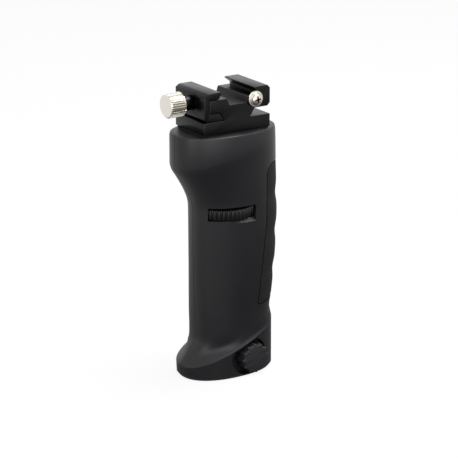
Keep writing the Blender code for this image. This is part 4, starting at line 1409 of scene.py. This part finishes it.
@dataclass
class FingerPad:
    """The rubber pad with three finger grooves, let into the front of both shells."""

    form: HandleForm
    outline: PadOutline
    thickness: float = 2.4 * MM
    groove_depth: float = 0.8 * MM
    sharpness: int = 2
    groove_pitch: float = 18.394 * MM
    groove_foot: float = 49.395 * MM
    grooves_up: int = 3
    step: float = 0.8 * MM

    def groove(self, height: float) -> float:
        """Says how deep the finger grooves lie.

        Args:
            height: The height above the sole.

        Returns:
            The depth there, nothing above and below the grooves.
        """
        turn = math.tau * (height - self.groove_foot) / self.groove_pitch
        wave = ((1 + math.cos(turn)) / 2) ** self.sharpness
        low = self.groove_foot - self.groove_pitch
        high = self.groove_foot + self.grooves_up * self.groove_pitch
        return self.groove_depth * wave if low < height < high else 0.0

    def build(self, shop: Workshop) -> None:
        """Models the pad and dresses it in rubber.

        Args:
            shop: Dresses it and sets it on its body.
        """
        low, high = self.outline.foot - OVERRUN, self.outline.top + OVERRUN
        count = math.ceil((high - low) / self.step)
        rings = []
        for k in range(count + 1):
            height = low + (high - low) * k / count
            rings.append(self.form.at(height).ring(self.form.around, 0, self.groove(height)))
        pad = self.form.loft("finger_pad_rubber", rings)
        combine(pad, Join.KEEP, self.outline.prism("pad edge", -self.outline.pad_gap))
        combine(pad, Join.CUT, self.form.whole("pad inside", self.thickness))
        shop.fit(smoothed(pad, angle=40), "handle", MOULDED_RUBBER, "finger_pad")


@dataclass
class ThumbWheel:
    """The ribbed wheel in the neck's window."""

    middle: float = 80.945 * MM
    thickness: float = 4.5 * MM
    ribs: int = 44
    depth: float = 0.8 * MM
    edge: float = 0.2 * MM
    bore: float = 3.275 * MM

    def build(self, shop: Workshop) -> None:
        """Models the ribbed wheel and dresses it.

        Args:
            shop: Dresses it and sets it on its body.
        """
        blank = toothed("thumb_wheel_ribbed", WHEEL_RADIUS, self.depth, self.ribs, slots=5, roots=2)
        wheel = eased(raised(blank, self.thickness), self.edge, angle=40)
        bored(wheel, self.bore, self.thickness + OVERLAP)
        placed(wheel, (AXIS_X, 0, self.middle - self.thickness / 2))
        shop.fit(smoothed(wheel), "wheel", WHEEL_ABS, "thumb_wheel")


@dataclass
class LockKnob:
    """The lobed knob in the recess of the base."""

    back: float = 10.85 * MM
    thickness: float = 6.2 * MM
    radius: float = 7.3 * MM
    lobes: int = 12
    notch: float = 0.9 * MM
    edge: float = 0.6 * MM
    bore: float = 3.1 * MM
    grip: float = 4.0 * MM

    def build(self, shop: Workshop) -> None:
        """Models the knob with rounded lobes and dresses it.

        Args:
            shop: Dresses it and sets it on its body.
        """
        blank = toothed("lock_knob_lobed", self.radius, self.notch, self.lobes, slots=8, roots=5)
        knob = eased(raised(blank, self.thickness), self.edge, segments=3, angle=50)
        bored(knob, self.bore, self.grip)
        placed(knob, (AXIS_X + LOCK_PLACE, -self.back, LOCK_HEIGHT), Way.NEAR)
        # Its plastic is painted paler than the shells', as light on its shaded sides.
        shop.fit(smoothed(knob, angle=40), "lock_turning", KNOB_ABS_PAINTED_PALER, "lock_knob")


# The clamp


@dataclass
class ClampBlocks:
    """The milled clamp body, the moving jaw and the spacer behind its knob."""

    edge: float = 0.07 * MM

    def build(self, shop: Workshop) -> None:
        """Rounds the edges of the milled blocks and dresses them.

        Args:
            shop: Dresses them and sets them on their bodies.
        """
        for node, name, body in (
            ("clamp_body", "clamp_body_milled", "clamp"),
            ("moving_jaw", "moving_jaw_milled", "jaw"),
            ("knob_spacer", "knob_spacer_turned", "jaw"),
        ):
            piece = eased(cad_copy(node, name), self.edge, angle=30)
            shop.fit(smoothed(piece, angle=30), body, BLACK_ANODISING, node)


@dataclass
class ClampKnob:
    """The straight-knurled knob of the clamp screw."""

    start: float = 22.85 * MM
    length: float = 8.1 * MM
    radius: float = 5.8 * MM
    teeth: int = 32
    depth: float = 0.55 * MM
    layers: int = 8
    chamfer: float = 0.6 * MM
    edge: float = 0.08 * MM
    bore: float = 2.1 * MM

    def envelope(self) -> Piece:
        """Makes the turned form that takes the corners off the knurl at both ends."""
        inside, outside = self.radius - 2 * self.chamfer, self.radius + self.chamfer
        profile = (
            (inside, -self.chamfer),
            (outside, 2 * self.chamfer),
            (outside, self.length - 2 * self.chamfer),
            (inside, self.length + self.chamfer),
        )
        return turned("knob envelope", profile, sides=96)

    def build(self, shop: Workshop) -> None:
        """Models the knurled knob and dresses it.

        Args:
            shop: Dresses it and sets it on its body.
        """
        blank = toothed("clamp_knob_knurled", self.radius, self.depth, self.teeth, slots=4, roots=2)
        knob = raised(blank, self.length, self.layers)
        combine(knob, Join.KEEP, self.envelope())
        bored(knob, self.bore, self.length / 2 + HAIR)
        eased(knob, self.edge, angle=30)
        placed(knob, (AXIS_X - self.start, 0, SCREW_AXIS), Way.BACK)
        shop.fit(smoothed(knob), "jaw_knob", KNURLED_NICKEL, "clamp_knob")


@dataclass
class PanScrew:
    """A pan-head screw with a cross recess, its head turned with a ring round a low dome."""

    head_radius: float
    head_height: float
    shank: float
    length: float
    cross_reach: float
    cross_width: float
    cross_depth: float
    cross_taper_share: float = 0.55
    tip_share: float = 0.8
    head_shares: tuple[tuple[float, float], ...] = (
        (1.0, 0.0),
        (1.0, 0.22),
        (0.96, 0.34),
        (0.84, 0.38),
        (0.82, 0.48),
        (0.78, 0.70),
        (0.66, 0.86),
        (0.45, 0.95),
        (0.2, 1.0),
    )

    def model(self, name: str, place: Point, way: Way, turn: float) -> Piece:
        """Models the screw.

        Args:
            name: Its name.
            place: Where the head's underside sits.
            way: The way that the head faces.
            turn: How far it was driven round, in radians.

        Returns:
            The screw.
        """
        profile = [(self.shank * self.tip_share, -self.length)]
        profile += [(self.shank, -self.length + self.shank / 2), (self.shank, 0.0)]
        profile += [(self.head_radius * r, self.head_height * h) for r, h in self.head_shares]
        screw = turned(name, profile, sides=48)
        top = self.head_height
        foot = top - self.cross_depth
        for reach, half in (
            (self.cross_reach, self.cross_width / 2),
            (self.cross_width / 2, self.cross_reach),
        ):
            wing = block("cross wing", (-reach, -half, foot), (reach, half, top + OVERLAP))
            pick(wing, Pick.FACES, lambda middle: middle.z < foot + self.cross_depth / 2)
            taper = (self.cross_taper_share, self.cross_taper_share, 1)
            bpy.ops.transform.resize(value=taper, center_override=(0, 0, foot))
            deselect()
            combine(screw, Join.CUT, wing)
        return smoothed(placed(screw, place, way, turn), angle=40)


@dataclass
class RailStop:
    """The bright screw and washer that stop a rail at the clamp's near end."""

    place: float = 9.6 * MM
    height: float = 14.4 * MM
    washer_radius: float = 3.8 * MM
    washer: float = 0.8 * MM
    bore: float = 1.6 * MM
    edge: float = 0.15 * MM
    turn: float = math.radians(10)

    def build(self, shop: Workshop) -> None:
        """Models the washer and the screw, and dresses them.

        Args:
            shop: Dresses them and sets them on their body.
        """
        x, z = AXIS_X + self.place, CLAMP_FOOT + self.height
        face = -CLAMP_HALF_LENGTH - HAIR
        profile = ((self.washer_radius, 0.0), (self.washer_radius, self.washer))
        washer = turned("rail_stop_washer_plated", profile)
        bored(washer, self.bore, self.washer + OVERLAP)
        eased(washer, self.edge, angle=40)
        placed(washer, (x, face, z), Way.NEAR)
        shop.fit(smoothed(washer), "clamp", NICKEL_PLATE, "rail_stop_washer")
        seat = face - self.washer - HAIR
        pan = PanScrew(
            head_radius=3.1 * MM,
            head_height=1.9 * MM,
            shank=1.5 * MM,
            length=8.8 * MM,
            cross_reach=2.0 * MM,
            cross_width=1.05 * MM,
            cross_depth=1.5 * MM,
        )
        screw = pan.model("rail_stop_screw_plated", (x, seat, z), Way.NEAR, self.turn)
        shop.fit(screw, "clamp", NICKEL_PLATE, "rail_stop_screw")


@dataclass
class HiddenHardware:
    """The turned pieces inside the handle, its foot plate and the sheet under the clamp."""

    steel: tuple[str, ...] = (
        "pin_socket",
        "clamp_stud",
        "back_dowel",
        "front_dowel",
        "clamp_screw",
        "lock_screw",
    )
    brass: tuple[str, ...] = ("lock_insert", "top_bush", "lower_bush")
    nylon: tuple[str, ...] = ("lower_thrust_washer", "upper_thrust_washer", "lock_pad")

    def build(self, shop: Workshop) -> None:
        """Dresses the CAD solids that stay, and makes the soft sheet anew.

        Args:
            shop: Dresses them, and sets the sheet on its body.
        """
        shop.dress(TURNED_STEEL, *self.steel)
        shop.dress(TURNED_BRASS, *self.brass)
        shop.dress(NATURAL_NYLON, *self.nylon)
        shop.dress(MOULDED_ABS, "foot_plate")
        sheet = cad_copy("seat_sheet", "seat_sheet_rubber")
        shop.fit(smoothed(sheet, angle=30), "handle", MOULDED_RUBBER, "seat_sheet")


@dataclass
class HousingScrews:
    """The cross-recessed screws that hold the far shell and the foot plate."""

    shell_places: tuple[tuple[float, float], ...]
    shell_seat: float = 9.8 * MM
    foot_places: tuple[tuple[float, float], ...] = (
        (-15.5 * MM, -4.3 * MM),
        (-15.5 * MM, 4.3 * MM),
        (17.1 * MM, 4.9 * MM),
    )
    foot_seat: float = 1.35 * MM
    shell_turn: float = 0.7
    foot_turn: float = 1.1

    def build(self, shop: Workshop) -> None:
        """Models the screws, each driven round to a different angle, and dresses them.

        Args:
            shop: Dresses them and sets them on their body.
        """
        long_screw = PanScrew(
            head_radius=2.7 * MM,
            head_height=1.7 * MM,
            shank=1.4 * MM,
            length=18.0 * MM,
            cross_reach=1.5 * MM,
            cross_width=0.7 * MM,
            cross_depth=1.1 * MM,
        )
        for k, (x, z) in enumerate(self.shell_places, 1):
            place = (AXIS_X + x, self.shell_seat, z)
            screw = long_screw.model(f"shell_screw_{k}_steel", place, Way.FAR, self.shell_turn * k)
            shop.fit(screw, "handle", TURNED_STEEL, f"shell_screw_{k}")
        short_screw = PanScrew(
            head_radius=2.4 * MM,
            head_height=1.3 * MM,
            shank=1.3 * MM,
            length=7.2 * MM,
            cross_reach=1.3 * MM,
            cross_width=0.6 * MM,
            cross_depth=0.9 * MM,
        )
        for k, (x, y) in enumerate(self.foot_places, 1):
            place = (AXIS_X + x, y, self.foot_seat)
            screw = short_screw.model(f"foot_screw_{k}_steel", place, Way.DOWN, self.foot_turn * k)
            shop.fit(screw, "handle", TURNED_STEEL, f"foot_screw_{k}")


# The studio


@dataclass
class Studio:
    """The white sweep that the handle stands on, its soft lamps and the camera."""

    target: Point = (5.165 * MM, 0.0, 69.18 * MM)
    distance: float = 1039.9 * MM
    azimuth: float = math.radians(-33.2)
    elevation: float = math.radians(17.74)
    lens: float = 172.93
    sight: float = 10.0
    floor_width: float = 3.0
    floor_gap: float = 0.02 * MM
    soft_fill: float = 0.35
    paper: str = "f4f4f4"
    bounce: str = "646464"
    glow_share: float = 0.9
    dim_place: Point = (0.06, -0.14, 0.0)
    dim_glow: float = 0.06
    dim_reach: float = 0.5
    lamps: tuple[tuple[str, Point, float, float], ...] = (
        ("left softbox", (-1.0, -0.5, 0.3), 0.6, 2.4),
        ("front softbox", (-0.25, -1.1, 0.22), 0.9, 4.9),
        ("overhead softbox", (0.3, -0.05, 1.05), 0.6, 12.0),
    )

    def build_floor(self) -> None:
        """Lays the floor a hair under the sole."""
        bpy.ops.mesh.primitive_plane_add(size=self.floor_width, location=(0, 0, -self.floor_gap))
        floor = added("studio_floor")
        floor.data.materials.append(self.sweep())

    def sweep(self) -> bpy.types.Material:
        """Makes the paper of the floor, which glows to the camera and in reflections.

        The camera sees it white but for the shadow. A reflection of white paper right up to the
        handle would make its foot as bright as its head, so in reflections the paper is dim at a
        place before the handle, and glows more with the distance from there.

        Returns:
            The material.
        """
        paper = bpy.data.materials.new("white paper sweep")
        paper.use_nodes = True
        tree = paper.node_tree
        tree.nodes.clear()
        camera = add_node(tree, "LightPath").outputs["Is Camera Ray"]
        place = add_node(tree, "TexCoord").outputs["Object"]
        away = add_node(
            tree, "VectorMath", {"operation": "DISTANCE"}, {0: place, 1: self.dim_place}
        ).outputs["Value"]
        glow = add_node(
            tree,
            "MapRange",
            {"interpolation_type": "SMOOTHSTEP"},
            {"Value": away, "From Max": self.dim_reach, "To Min": self.dim_glow},
        ).outputs["Result"]
        strength = add_node(
            tree, "Math", {"operation": "MAXIMUM"}, {0: camera, 1: glow}
        ).outputs["Value"]
        shade = add_node(
            tree,
            "Mix",
            {"data_type": "RGBA"},
            {0: camera, 6: srgb(self.bounce), 7: srgb(self.paper)},
        ).outputs[2]
        matt = add_node(tree, "BsdfDiffuse", inputs={"Color": shade}).outputs["BSDF"]
        white = add_node(tree, "Emission", inputs={"Strength": strength}).outputs["Emission"]
        share = add_node(
            tree,
            "Math",
            {"operation": "MULTIPLY"},
            {0: self.seen(tree), 1: self.glow_share},
        ).outputs["Value"]
        mixed = add_node(tree, "MixShader", inputs={0: share, 1: matt, 2: white})
        add_node(tree, "OutputMaterial", inputs={"Surface": mixed.outputs["Shader"]})
        return paper

    @staticmethod
    def seen(tree: Tree) -> Socket:
        """Tells rays of the camera, of reflections and of glass from the rest.

        Args:
            tree: The nodes of a material or of the world.

        Returns:
            One for such a ray, nothing for the others.
        """
        path = add_node(tree, "LightPath").outputs
        found = path["Is Camera Ray"]
        for other in ("Is Glossy Ray", "Is Transmission Ray"):
            found = add_node(
                tree, "Math", {"operation": "MAXIMUM"}, {0: found, 1: path[other]}
            ).outputs["Value"]
        return found

    def build_world(self) -> None:
        """Makes the world white to camera and reflections, and softer as a light."""
        world = bpy.data.worlds.new("white studio")
        bpy.context.scene.world = world
        world.use_nodes = True
        tree = world.node_tree
        strength = add_node(
            tree,
            "MapRange",
            inputs={"Value": self.seen(tree), "To Min": self.soft_fill, "To Max": 1.0},
        ).outputs["Result"]
        background = tree.nodes["Background"]
        background.inputs["Color"].default_value = (1, 1, 1, 1)
        tree.links.new(strength, background.inputs["Strength"])

    def build_lamps(self) -> None:
        """Hangs the softboxes, each aimed at the handle."""
        for name, place, size, power in self.lamps:
            lamp = bpy.data.lights.new(name, "AREA")
            lamp.shape = "SQUARE"
            lamp.size = size
            lamp.energy = power
            holder = bpy.data.objects.new(name, lamp)
            holder.location = place
            aim = Vector(self.target) - Vector(place)
            holder.rotation_euler = aim.to_track_quat("-Z", "Y").to_euler()
            bpy.context.scene.collection.objects.link(holder)

    def build_camera(self) -> None:
        """Places the camera where the photograph was taken from."""
        away = Vector(
            (
                math.sin(self.azimuth) * math.cos(self.elevation),
                -math.cos(self.azimuth) * math.cos(self.elevation),
                math.sin(self.elevation),
            )
        )
        view = bpy.data.cameras.new("photograph camera")
        view.lens = self.lens
        view.clip_end = self.sight
        camera = bpy.data.objects.new("photograph camera", view)
        camera.location = Vector(self.target) + self.distance * away
        camera.rotation_euler = (-away).to_track_quat("-Z", "Y").to_euler()
        bpy.context.scene.collection.objects.link(camera)
        bpy.context.scene.camera = camera

    def build(self) -> None:
        """Builds the floor, the lamps, the world and the camera."""
        self.build_floor()
        self.build_world()
        self.build_lamps()
        self.build_camera()
        bpy.context.scene.view_settings.view_transform = "Standard"


def main() -> None:
    """Builds the studio and every sub-assembly in order."""
    logging.basicConfig(level=logging.INFO, format="%(message)s")
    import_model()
    deselect()
    Studio().build()
    shop = Workshop()
    form = HandleForm()
    outline = PadOutline()
    shells = HandleShells(form, outline)
    shells.build(shop)
    FingerPad(form, outline).build(shop)
    ThumbWheel().build(shop)
    LockKnob().build(shop)
    ClampBlocks().build(shop)
    ClampKnob().build(shop)
    RailStop().build(shop)
    HiddenHardware().build(shop)
    HousingScrews(shells.screw_places).build(shop)
    deselect()


if __name__ == "__main__":
    main()
